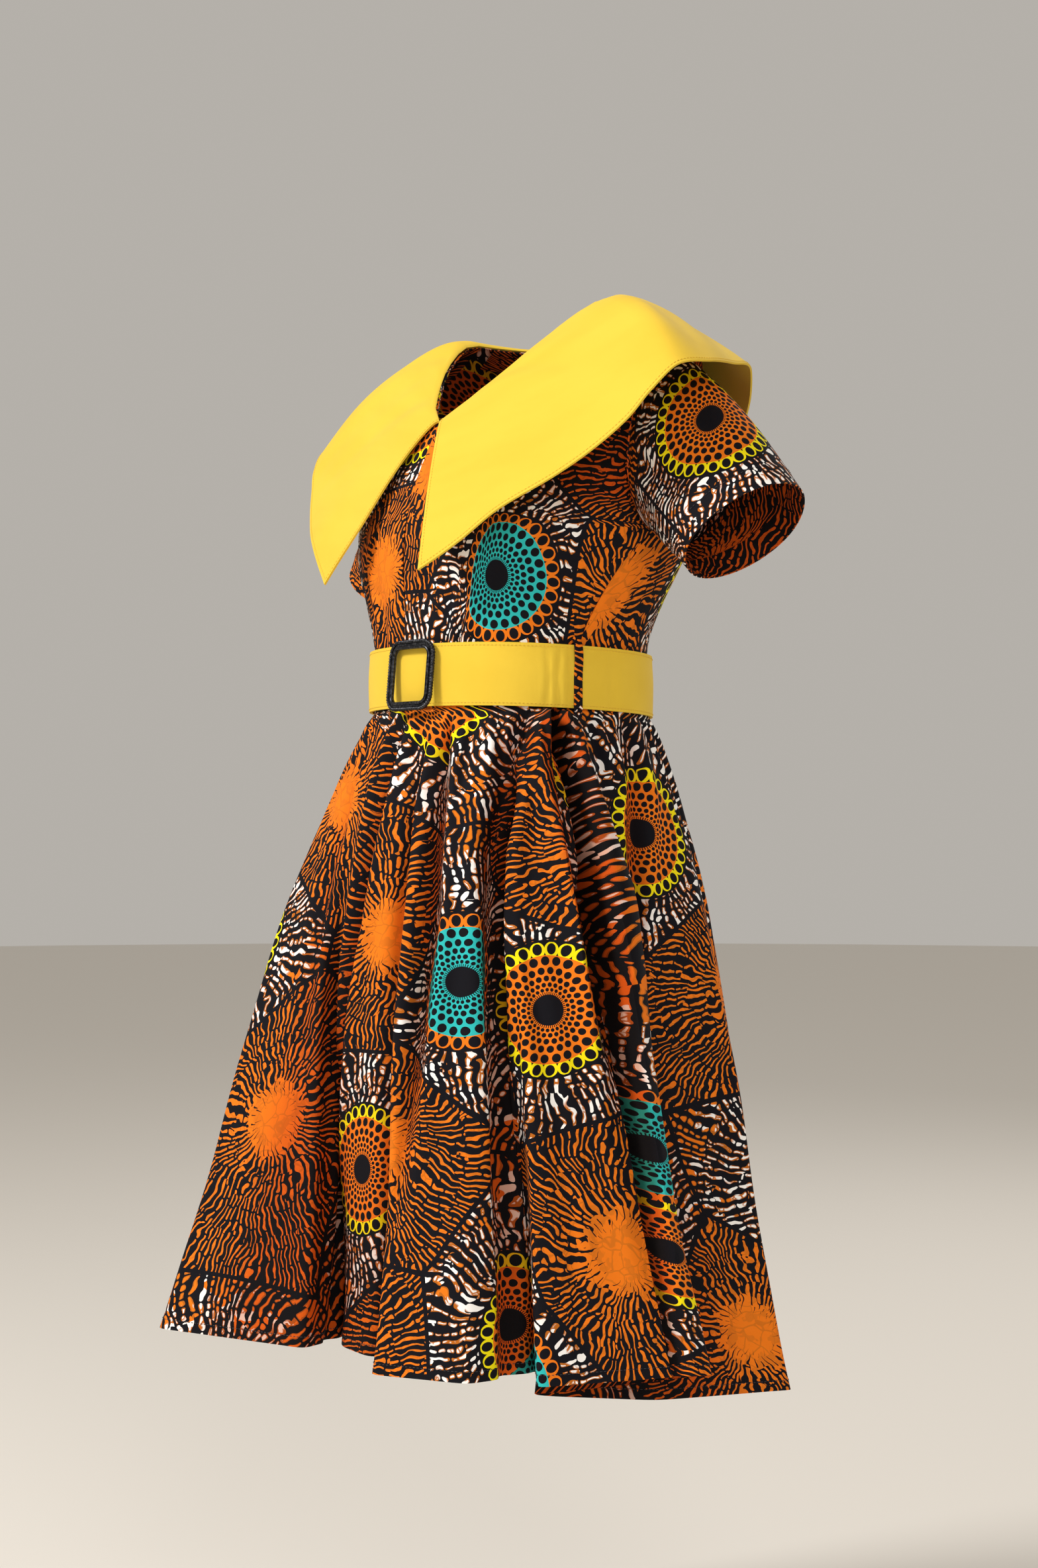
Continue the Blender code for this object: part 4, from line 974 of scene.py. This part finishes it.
SLEEVE_CREASES = (
    (3, 9, 0, ((0, 0.108), (0.4, 0.1), (0.9, 0.09))),
    (2.4, 9, 0, ((0, -0.09), (0.35, -0.085), (0.8, -0.08))),
    (2.2, 10, 0, ((0.2, 0.03), (0.5, 0.036), (1, 0.046))),
    (4, 12, 0, ((0, 0.176), (0.45, 0.172), (1, 0.168))),
)
BELT_CREASES = (
    (1, 2.6, 0, ((0, 68), (0.5, 69), (1, 67.5))),
    (1.3, 2.4, 0, ((0, 73), (0.5, 72), (1, 74))),
    (1, 2.4, 0, ((0.05, 77.5), (0.5, 78), (1, 77))),
    (0.7, 6, 0, ((0, 96), (0.5, 94), (1, 97))),
    (0.9, 3, 0, ((0, 283), (0.5, 284), (1, 282.5))),
    (0.9, 3, 0, ((0, 288), (0.5, 287), (1, 289))),
    (0.6, 8, 0, ((0, 170), (0.5, 172), (1, 171))),
)
COLLAR_CREASES = (
    (2, 12, 0, ((0.15, 0.1), (0.6, 0.17), (0.98, 0.21))),
    (2.2, 15, 0, ((0.2, 0.24), (0.6, 0.29), (1, 0.31))),
    (2.6, 15, 0, ((0.25, 0.36), (0.65, 0.385), (1, 0.4))),
    (2, 13, 0, ((0.2, 0.66), (0.6, 0.64), (0.95, 0.635))),
    (2.2, 15, 0, ((0.15, 0.8), (0.6, 0.75), (1, 0.74))),
    (2, 14, 0, ((0.15, 0.92), (0.6, 0.86), (0.98, 0.83))),
)


def waist_gathers():
    """Short, uneven gathers below the belt, all round."""
    gathers = []
    for step in range(52):
        middle = -86 + step * 6.9 + 2.1 * math.sin(step * 2.4)
        depth = 1.8 + 2.6 * abs(math.sin(step * 1.7))
        width = 2.8 + 1.8 * abs(math.sin(step * 0.9 + 1))
        end = 0.07 + 0.13 * abs(math.sin(step * 1.3))
        gathers.append((depth, width, 0.0, ((-0.02, middle), (end, middle + 2.0 * math.sin(step * 3.1)))))
    return tuple(gathers)


def soft_waves(grid, normals, size, length, seed):
    """Low, slow unevenness of hanging cloth."""
    turn = grid / length
    x, y, z = np.moveaxis(turn, -1, 0)
    swell = np.sin(x * 6.3 + z * 2.9 + seed) * np.sin(y * 5.1 - z * 1.7)
    swell += 0.5 * np.sin(z * 8.3 + x * 4.1 + seed * 2)
    return grid + normals * (size * swell)[..., None]


def turned_up(name, edge, beyond, out, width, uv_edge, uv_beyond, material, closed=False):
    """A narrow hem turned up inside the cloth, from its edge."""
    way = unit(beyond - edge)
    shares = np.linspace(0.03, 1.0, 6)[:, None, None]
    grid = edge + way * width * shares - out * (SHELL + 0.0003)
    uv_way = unit(uv_beyond - uv_edge)
    uv = uv_edge + uv_way * width * shares * np.array((1.0, -1.0)) + np.array((0.31, 0.17))
    normals = np.broadcast_to(out, grid.shape)
    # Painted shade over the whole turned-up hem
    shade = np.ones(grid.shape[:2])
    piece = shell(name, grid, 0.0006, uv, closed, normals, shade)
    return finish(piece, material)


def build_bodice():
    pieces = []
    front = finer(bodice_front_places(), BODICE_FINER, 5)
    base = torso(front[..., 0], front[..., 1])
    facing = torso_normals(front[..., 0], front[..., 1])
    rows = np.linspace(0, 1, len(base))
    uv = arc_uv(base, 0)
    # Painted shade under the collar, high up towards the armhole
    shade = np.clip((base[..., 2] + 0.215) / 0.05, 0, 1) * np.clip((base[..., 0] - 0.12) / 0.05, 0, 1)
    for side, cells, creases in (("left", FRONT_LEFT_CELLS, BODICE_LEFT_CREASES),
                                 ("right", FRONT_RIGHT_CELLS, BODICE_RIGHT_CREASES)):
        outer, folded_uv = creased(base, facing, uv, rows, uv[len(uv) // 3, :, 0], creases)[:2]
        outer = sunk_edges(outer, facing)
        outer = soft_waves(outer, facing, 0.0007, 0.20, 0.4 if side == "left" else 2.1)
        node = "bodice_front_" + side
        if side == "left":
            piece = shell(node + "_cloth", outer, SHELL, folded_uv, normals=facing, shade=shade)
        else:
            other_uv = folded_uv[:, ::-1] * np.array((-1.0, 1.0))
            piece = shell(node + "_cloth", mirrored(outer), SHELL, other_uv, normals=mirrored(facing),
                          shade=shade[:, ::-1])
        pieces.append(finish(piece, print_material("print_" + node, cells), node))
    back = finer(bodice_back_places(), BODICE_FINER, 4)
    outer = torso(back[..., 0], back[..., 1])
    normals = torso_normals(back[..., 0], back[..., 1])
    uv = arc_uv(outer, outer.shape[1] // 2)
    rows, places = np.linspace(0, 1, len(outer)), uv[len(uv) // 3, :, 0]
    outer, uv = creased(outer, normals, uv, rows, places, BODICE_BACK_CREASES)[:2]
    outer = soft_waves(sunk_edges(outer, normals), normals, 0.0008, 0.22, 1.1)
    # Painted shade over the upper back, beneath the collar
    shade = np.clip((outer[..., 2] + 0.20) / 0.05, 0, 1)
    piece = shell("bodice_back_cloth", outer, SHELL, uv, normals=normals, shade=shade)
    material = print_material("print_bodice_back", BACK_CELLS)
    pieces.append(finish(piece, material, "bodice_back"))
    return pieces


def build_facings(material):
    inset = PRINT_WALL + SEAM_GAP

    def strip(name, starts, towards, turn):
        lines = []
        for start, toward in zip(starts, towards):
            length = np.linalg.norm(torso(toward[0], toward[1]) - torso(start[0], start[1]))
            reach = min(FACING_WIDTH, length * 0.9) / length
            lines.append(start + (toward - start) * np.linspace(0, reach, 4)[:, None])
        places = finer(np.array(lines).swapaxes(0, 1), 3, 6, edged=False)
        normals = torso_normals(places[..., 0], places[..., 1])
        outer = torso(places[..., 0], places[..., 1]) - normals * inset
        if turn:
            outer, normals = mirrored(outer), mirrored(normals)
        # Painted shade of 0.5 over the facing inside the neck
        piece = shell(name + "_cloth", outer, 0.0008, arc_uv(outer, 0), normals=normals,
                      shade=np.full(outer.shape[:2], 0.5))
        return finish(piece, material, name)

    rows = bodice_front_places()[9:-1]
    back = bodice_back_places()
    return (strip("neck_facing_front_left", rows[:, 0], rows[:, -1], False),
            strip("neck_facing_front_right", rows[:, 0], rows[:, -1], True),
            strip("neck_facing_back", back[-1][1:-1], back[-3][1:-1], False))


def build_sleeves(thread):
    plan, drop = math.radians(SLEEVE_PLAN_DEG), math.radians(SLEEVE_DROP_DEG)
    pointing = np.array((math.cos(plan) * math.cos(drop), math.sin(plan) * math.cos(drop), -math.sin(drop)))
    across = np.array((-math.sin(plan), math.cos(plan), 0.0))
    up = np.cross(pointing, across)
    count, rings = 160, 54
    turns = np.arange(count) * 2 * math.pi / count
    steps = np.where(turns <= math.pi, turns, 2 * math.pi - turns) / math.pi * ARMHOLE_ROWS
    front, back = armhole_places(steps, True), armhole_places(steps, False)
    places = np.where((turns <= math.pi)[:, None], front, back)
    edge = torso(places[:, 0], places[:, 1])
    hem = np.array(SLEEVE_HEM_CENTRE) - SLEEVE_HEM_UP * np.cos(turns)[:, None] * up \
        - SLEEVE_HEM_ACROSS * np.sin(turns)[:, None] * across
    grid = []
    shares = np.linspace(0, 1, rings + 1) ** 1.15
    for share in shares:
        ease = math.sin(math.pi * share**0.75)
        top = (1 - np.cos(turns)) / 2
        lift = (top**1.5 * ease * SLEEVE_HEAD)[:, None] * (up * 0.8 + pointing * 0.2)
        side = (np.sin(turns) ** 2 * ease * SLEEVE_SIDE_EASE * np.sign(np.sin(turns)))[:, None] * -across
        start = edge + pointing * SLEEVE_SEAM_GAP
        grid.append(start + (hem - start) * share + lift + side)
    grid = np.array(grid)[:, ::-1]
    normals = grid_normals(grid, True)
    if np.sum(normals * (grid - grid.mean(axis=1, keepdims=True))) < 0:
        normals = -normals
    uv = arc_uv(grid, count // 2, True)
    grid, uv = creased(grid, normals, uv, shares, uv[rings // 2, :-1, 0], SLEEVE_CREASES)[:2]
    grid = soft_waves(grid, normals, 0.0009, 0.12, 0.7)
    grid -= normals * (0.0010 * np.exp(-(shares * 0.16 / 0.002) ** 2))[:, None, None]
    material = print_material("print_sleeve", SLEEVE_CELLS)
    # Painted shade near the armhole seam, fading down the sleeve
    shade = np.zeros(grid.shape[:2]) + np.clip(1 - shares[:, None] / 0.25, 0, 1) * 0.5
    pieces = []
    for side in ("left", "right"):
        turn = side == "right"
        outer, facing = (mirrored(grid), mirrored(normals)) if turn else (grid, normals)
        flat = uv[:, ::-1] * np.array((-1.0, 1.0)) if turn else uv
        piece = shell("sleeve_" + side + "_cloth", outer, SHELL, flat, True, facing, shade)
        finish(piece, material, "sleeve_" + side)
        hem_band = turned_up("sleeve_" + side + "_turn_up", outer[-1], outer[-3], facing[-1], 0.022,
                             flat[-1], flat[-3], material, True)
        wide = 0.020 / np.linalg.norm(outer[-6] - outer[-1], axis=1)[:, None]
        line = outer[-1] + (outer[-6] - outer[-1]) * wide + facing[-3] * 0.0003
        sewn = stitches("sleeve_" + side + "_hem_stitches", line, facing[-3])
        finish(sewn, thread)
        pieces.append((piece, [hem_band, sewn]))
    return pieces


def along_path(points, shares):
    steps = np.linalg.norm(np.diff(points, axis=0), axis=1)
    places = np.concatenate(([0.0], np.cumsum(steps)))
    return between(shares, places / places[-1], points)


def collar_grid(columns, steps):
    front = bodice_front_places()[9:, 0]
    back = bodice_back_places()[-1][:BACK_COLUMNS // 2 + 1]
    neck_places = np.concatenate((front, back))
    neck = torso(neck_places[:, 0], neck_places[:, 1])
    shares = np.linspace(0.0, 1.0, columns)
    start = along_path(neck, shares)
    values = smooth(COLLAR_EDGE, shares)
    edge, roll, arch = values[:, :3], values[:, 3:4], values[:, 4:5]
    sideways = edge - start
    sideways[:, 2] = 0.0
    sideways = unit(sideways)
    rise = np.array((0.0, 0.0, 1.0))
    foot = start + rise * COLLAR_FOOT_UP + sideways * COLLAR_FOOT_OUT
    crown = start + rise * (roll * 2.0 + COLLAR_CROWN_UP) + sideways * (COLLAR_CROWN_OUT + roll * 0.5)
    fall = crown + (edge - crown) * COLLAR_FALL_SHARE + rise * arch
    part = (np.linspace(0, 1, steps) ** 1.25)[:, None, None]
    left = ((1 - part) ** 3 * foot + 3 * part * (1 - part) ** 2 * crown
            + 3 * part**2 * (1 - part) * fall + part**3 * edge)
    left[:, 0, 0] += SEAM_GAP / 2
    right = (left * np.array((-1.0, 1.0, 1.0)))[:, ::-1]
    return np.concatenate((left, right[:, 1:]), axis=1)


def build_collar(material, thread):
    grid = collar_grid(150, 46)
    normals = grid_normals(grid)
    if normals[20, 75, 2] < 0:
        normals = -normals
    middle = grid.shape[1] // 2
    uv = arc_uv(grid, middle)
    keys = np.linspace(0, 1, grid.shape[1])
    grid, uv = creased(grid, normals, uv, np.linspace(0, 1, len(grid)), keys, COLLAR_CREASES)[:2]
    fall = np.linspace(0, 1, len(grid))[:, None] ** 2
    waved = soft_waves(grid, normals, 0.0016, 0.17, 0.9)
    grid = grid + (waved - grid) * fall[..., None]
    piece = shell("collar_cloth", grid, COLLAR_SHELL, uv, normals=normals)
    finish(piece, material, "collar")
    inset = 0.0030
    line = grid[-1] + unit(grid[-2] - grid[-1]) * inset + normals[-1] * 0.0002
    front_left = grid[:, 0] + unit(grid[:, 1] - grid[:, 0]) * inset + normals[:, 0] * 0.0002
    front_right = grid[:, -1] + unit(grid[:, -2] - grid[:, -1]) * inset + normals[:, -1] * 0.0002
    path = np.concatenate((front_left[2:-2], line[1:-1], front_right[-3:1:-1]))
    lift = np.concatenate((normals[2:-2, 0], normals[-1, 1:-1], normals[-3:1:-1, -1]))
    sewn = stitches("collar_topstitch", path, lift)
    finish(sewn, thread)
    return piece, [sewn]


def seam_columns(grid):
    hem = grid[-1, ::SKIRT_FINER, :2]
    right = int(np.argmin(np.linalg.norm(hem - np.array(RIGHT_SEAM_XY), axis=1)))
    fold = FOLDS[LEFT_SEAM_FOLD]
    left_end, right_end = np.array(fold[1:3]), np.array(fold[3:5])
    spot = left_end + (right_end - left_end) * LEFT_SEAM_SHARE
    left = int(np.argmin(np.linalg.norm(hem - spot, axis=1)))
    return right * SKIRT_FINER, left * SKIRT_FINER


def fold_depths(grid):
    """How deep each point lies behind the neighbouring crests, from 0 to 1, for the painted shade in the
    folds.
    """
    plan = grid[..., :2]
    reach = plan.shape[1] // 14
    turned = np.arctan2(plan[..., 0], -plan[..., 1])
    radius = np.linalg.norm(plan, axis=-1)
    crest = radius.copy()
    for step in range(-reach, reach + 1, 4):
        crest = np.maximum(crest, np.roll(radius, step, axis=1))
    along = np.roll(turned, -3, axis=1) - np.roll(turned, 3, axis=1)
    along = (along + np.pi) % (2 * np.pi) - np.pi
    tucked = np.clip(-along / 0.05 + 0.3, 0, 1)
    return np.clip((crest - radius - 0.006) / 0.055, 0, 1) * 0.7 + tucked * 0.3


def build_skirt(thread):
    grid, degrees = skirt_grid()
    normals = grid_normals(grid, True)
    if np.sum(normals[-1] * grid[-1]) < 0:
        normals = -normals
    depths = fold_depths(grid)
    right, left = seam_columns(grid)
    total = grid.shape[1]
    front_count = (left - right) % total
    middle_z = (POCKET_TOP_Z + POCKET_BOTTOM_Z) / 2
    half = (POCKET_TOP_Z - POCKET_BOTTOM_Z) / 2
    row_shares = np.concatenate(((-0.02, -0.01), np.linspace(0, 1, SKIRT_ROW_COUNT) ** 1.05))
    creases = SKIRT_CREASES + waist_gathers()
    pieces = []
    for name, first, count, mouth_end, gape, cells in (
        ("skirt_front", right, front_count, -1, POCKET_FRONT_OUT, SKIRT_FRONT_CELLS),
        ("skirt_back", left, total - front_count, 0, -POCKET_BACK_IN, SKIRT_BACK_CELLS),
    ):
        columns = (first + np.arange(count + 1)) % total
        outer, facing = grid[:, columns].copy(), normals[:, columns]
        keys = np.unwrap(degrees[columns], period=360)
        keys = keys - 360 if keys[0] > 200 else keys
        reference = int(np.argmin(np.abs(keys - (0.0 if name == "skirt_front" else 180.0))))
        uv = flared_uv(arc_uv(outer, reference))
        plain = outer
        outer, uv, troughs = creased(plain, facing, uv, row_shares, keys, creases)
        outer = plain + (outer - plain) * np.clip(row_shares / 0.02, 0, 1)[:, None, None]
        outer = soft_waves(outer, facing, 0.0011, 0.21, 0.3)
        outer = sunk_edges(outer, facing, depth=0.0008, width=0.0035)
        # Painted shade in the fold valleys and crease troughs
        shade = np.clip(depths[:, columns] + troughs * 48.0, 0, 1)
        fade = POCKET_FADE_COLUMNS * SKIRT_FINER
        for offset in range(fade):
            column = offset if mouth_end == 0 else -1 - offset
            weight = (1 - offset / fade) ** 2
            mouth = np.maximum(0.0, 1 - ((outer[:, column, 2] - middle_z) / half) ** 2)
            outer[:, column] += facing[:, column] * (gape * weight * mouth)[:, None]
            # Painted shade deep in the pocket mouth on the back panel
            if gape < 0:
                shade[:, column] = np.maximum(shade[:, column], np.sqrt(weight) * mouth)
        side = grid_normals(outer)
        if np.sum(side * facing) < 0:
            side = -side
        outer, side, uv, shade = outer[::-1], side[::-1], uv[::-1], shade[::-1]
        piece = shell(name + "_cloth", outer, SHELL, uv, normals=side, shade=shade)
        material = print_material("print_" + name, cells)
        finish(piece, material, name)
        hem_band = turned_up(name + "_turn_up", outer[0], outer[3], side[0], 0.012, uv[0], uv[3], material)
        share = 0.009 / np.linalg.norm(outer[3] - outer[0], axis=1)[:, None]
        line = outer[0] + (outer[3] - outer[0]) * share + side[1] * 0.0003
        sewn = stitches(name + "_hem_stitches", line, side[1])
        finish(sewn, thread)
        pieces.append((piece, [hem_band, sewn]))
    return pieces, grid, normals, left


def build_pocket(grid, normals, seam, material):
    """The left pocket's bag, hanging forward and down from the side seam."""
    rings, points = 20, 40
    middle = (POCKET_TOP_Z + POCKET_BOTTOM_Z) / 2
    half = (POCKET_TOP_Z - POCKET_BOTTOM_Z) / 2
    turns = np.arange(points) * 2 * math.pi / points
    bag = []
    for share in np.linspace(0, 1, rings):
        place = seam - (POCKET_MOUTH_COLUMNS + POCKET_BAG_COLUMNS * share) * SKIRT_FINER
        tall = half * POCKET_MOUTH_SHARE + POCKET_SWELL * math.sin(math.pi * min(1.0, share * 1.1))
        thick = (POCKET_HALF_MOUTH - POCKET_HALF_END) * (1 - share) ** 1.5 + POCKET_HALF_END
        fade = max(0.0, 1 - (seam - place) / (POCKET_FADE_COLUMNS * SKIRT_FINER)) ** 2
        inset = PRINT_WALL + POCKET_CLEAR - POCKET_FRONT_OUT * fade
        column = int(round(place)) % grid.shape[1]
        heights = middle - POCKET_DROP * share + tall * np.cos(turns)
        line, facing = grid[::-1, column], normals[::-1, column]
        spot = between(heights, line[:, 2], line)
        way = unit(between(heights, line[:, 2], facing))
        bag.append(spot - way * (inset + thick * (1 - np.sin(turns)))[:, None])
    bag = np.array(bag)
    outward = grid_normals(bag, True)
    if np.sum(outward * (bag - bag.mean(axis=1, keepdims=True))) < 0:
        outward = -outward
    # Painted shade of 0.7 over the whole pocket bag
    piece = shell("pocket_bag_left_cloth", bag, SHELL, arc_uv(bag, 0, True), True, outward,
                  np.full(bag.shape[:2], 0.7))
    return finish(piece, material, "pocket_bag_left")


def build_belt(material, thread):
    count, rows = 300, 22
    degrees = 360.0 * np.arange(count) / count
    out = torso_normals(degrees, np.full(count, WAIST_Z))
    out[:, 2] = 0.0
    out = unit(out)
    shares = np.linspace(0, 1, rows + 1)
    grid = []
    for share in shares:
        ring = torso(degrees, np.full(count, BELT_BOTTOM_Z + BELT_WIDTH * share))
        spot = ring + out * (BELT_CLEAR + BELT_WALL + BELT_BULGE * math.sin(math.pi * share))
        spot[:, 2] += belt_shift(ring[:, 1])
        grid.append(spot)
    grid = np.array(grid)
    normals = np.broadcast_to(out, grid.shape)
    uv = arc_uv(grid, 0, True)
    grid, uv = creased(grid, normals, uv, shares, degrees, BELT_CREASES)[:2]
    piece = shell("belt_cloth", grid, BELT_WALL, uv, True, normals)
    finish(piece, material, "belt")
    sewn = []
    for name, row, beside in (("belt_low_stitches", 0, 2), ("belt_top_stitches", -1, -3)):
        line = grid[row] + unit(grid[beside] - grid[row]) * 0.0025 + out * 0.0002
        line = np.concatenate((line, line[:1]))
        sewn.append(finish(stitches(name, line, np.concatenate((out, out[:1]))), thread))
    return piece, sewn


def build_carrier(name, degrees, material):
    """A narrow strap of the print over the belt at a side seam."""
    way = torso_normals(np.array(degrees), WAIST_Z)
    way = unit(way * np.array((1.0, 1.0, 0.0)))
    along = np.array((-way[1], way[0], 0.0))
    drop = belt_shift(torso(degrees, WAIST_Z)[1])
    over = BELT_CLEAR + BELT_WALL + BELT_BULGE + OVER_BELT_CLEAR
    reach = BELT_WIDTH / 2
    profile = (
        # height from the waist, distance from the body
        (-reach - 0.0080, 0.0050), (-reach - 0.0045, 0.0046), (-reach - 0.0014, over * 0.95),
        (-reach + 0.0020, over), (0.0, over + 0.0004), (reach - 0.0020, over),
        (reach + 0.0014, over * 0.75), (reach + 0.0040, 0.0018), (reach + 0.0075, 0.0018),
    )
    rises = np.linspace(-reach - 0.0080, reach + 0.0075, 60)
    distances = smooth(profile, rises)[:, 0]
    sides = np.linspace(-1, 1, 9)
    crown = CARRIER_WALL * (1 - 0.45 * sides**4)
    grid = []
    for rise, distance in zip(rises, distances):
        centre = torso(degrees, WAIST_Z + rise)
        centre[2] = WAIST_Z + rise + drop
        across = along * (sides * CARRIER_WIDTH / 2)[:, None]
        grid.append(centre + way * (distance + crown)[:, None] + across)
    grid = np.array(grid)
    piece = shell(name + "_cloth", grid, 0.0010, arc_uv(grid, 4) + np.array((0.075, 0.13)),
                  normals=np.broadcast_to(way, grid.shape))
    return finish(piece, material, name)


def swept(path, ways, section, twist=0.0, ridges=0.0, count=12):
    """Points of a closed bar along a path: section holds half sizes across and out, in metres."""
    turns = np.arange(count) * 2 * math.pi / count
    steps = np.linalg.norm(np.roll(path, -1, axis=0) - path, axis=1)
    places = np.concatenate(([0.0], np.cumsum(steps)[:-1])) / steps.sum()
    swell = 1 + ridges * np.cos(2 * (turns[None] - places[:, None] * 2 * math.pi * twist))
    side, out = ways
    points = (path[:, None] + side[:, None] * (np.cos(turns) * section[0] * swell)[..., None]
              + out[:, None] * (np.sin(turns) * section[1] * swell)[..., None])
    rows = len(path)
    index = np.arange(rows * count).reshape(rows, count)
    beyond = np.roll(index, -1, axis=0)
    faces = np.stack((index, beyond, np.roll(beyond, -1, axis=1), np.roll(index, -1, axis=1)), axis=-1)
    return points.reshape(-1, 3), faces.reshape(-1, 4)


def build_buckle(material):
    """A flat frame with a smooth inner ring and a rope-like rim."""
    width, height = BUCKLE_SIZE[0] - BUCKLE_BAR, BUCKLE_SIZE[1] - BUCKLE_BAR
    outline = []
    for index, (side_x, side_z) in enumerate(((1, 1), (-1, 1), (-1, -1), (1, -1))):
        for step in range(25):
            angle = math.radians(90 * (index + step / 24))
            outline.append((side_x * (width / 2 - BUCKLE_CORNER) + BUCKLE_CORNER * math.cos(angle),
                            side_z * (height / 2 - BUCKLE_CORNER) + BUCKLE_CORNER * math.sin(angle)))
    outline = np.array(outline + outline[:1])
    lengths = np.concatenate(([0.0], np.cumsum(np.linalg.norm(np.diff(outline, axis=0), axis=1))))
    spots = np.linspace(0, lengths[-1], 561)[:-1]
    flat = between(spots, lengths, outline)
    along = unit(np.roll(flat, -1, axis=0) - np.roll(flat, 1, axis=0))
    outward = np.stack((along[:, 1], -along[:, 0]), axis=-1)
    tilt = math.radians(BUCKLE_TILT_DEG)
    over = BELT_CLEAR + BELT_WALL + OVER_BELT_CLEAR + BUCKLE_DEPTH + math.sin(tilt) * BUCKLE_SIZE[1] / 2
    half_width, front, _, side_y, power = smooth(TORSO_RINGS, WAIST_Z)
    vertices, faces, start = [], [], 0
    for offset, section, twist, ridges, proud, skip in (
        (0.0, (BUCKLE_BAR / 2 * 0.92, 0.0017), 0.0, 0.0, 0.0, 2),
        (-0.0025, (0.0016, 0.0017), 0.0, 0.0, 0.0014, 2),
        (0.0027, (0.0015, 0.0017), 44.0, 0.20, 0.0014, 1),
    ):
        places = (flat + outward * offset)[::skip]
        across = BUCKLE_X + places[:, 0]
        reach = (1 - (np.abs(across) / half_width) ** power) ** (1 / power)
        y = side_y - (front + side_y) * reach - over - proud + math.sin(tilt) * places[:, 1]
        path = np.stack((across, y, WAIST_Z + BUCKLE_RISE + places[:, 1] * math.cos(tilt)), axis=-1)
        side = np.stack((outward[::skip, 0], np.zeros(len(path)), outward[::skip, 1]), axis=-1)
        out = np.broadcast_to(np.array((0.0, -1.0, 0.0)), path.shape)
        points, loops = swept(path, (side, out), section, twist, ridges)
        vertices.append(points)
        faces.append(loops + start)
        start += len(points)
    piece = add_mesh("buckle_frame", np.concatenate(vertices), np.concatenate(faces), smooth_deg=60)
    return finish(piece, material, "buckle")


thread_dark = thread_material("dark_thread", (0.030, 0.026, 0.032, 1.0))
thread_yellow = thread_material("yellow_thread", (0.86, 0.56, 0.035, 1.0))
yellow = plain_material("yellow_cotton")
metal = metal_material("dark_gunmetal")
small_print = print_material("print_small", FRONT_LEFT_CELLS)

build_camera()
build_studio()
bodice_pieces = build_bodice()
facing_pieces = build_facings(small_print)
sleeve_pieces = build_sleeves(thread_dark)
collar_piece, collar_sewing = build_collar(yellow, thread_yellow)
skirt_pieces, skirt_rings, skirt_normals, left_seam = build_skirt(thread_dark)
pocket_piece = build_pocket(skirt_rings, skirt_normals, left_seam, small_print)
belt_piece, belt_sewing = build_belt(yellow, thread_yellow)
carriers = [build_carrier("belt_carrier_left", SIDE_SEAM_WAIST_DEG, small_print),
            build_carrier("belt_carrier_right", -SIDE_SEAM_WAIST_DEG, small_print)]
build_buckle(metal)
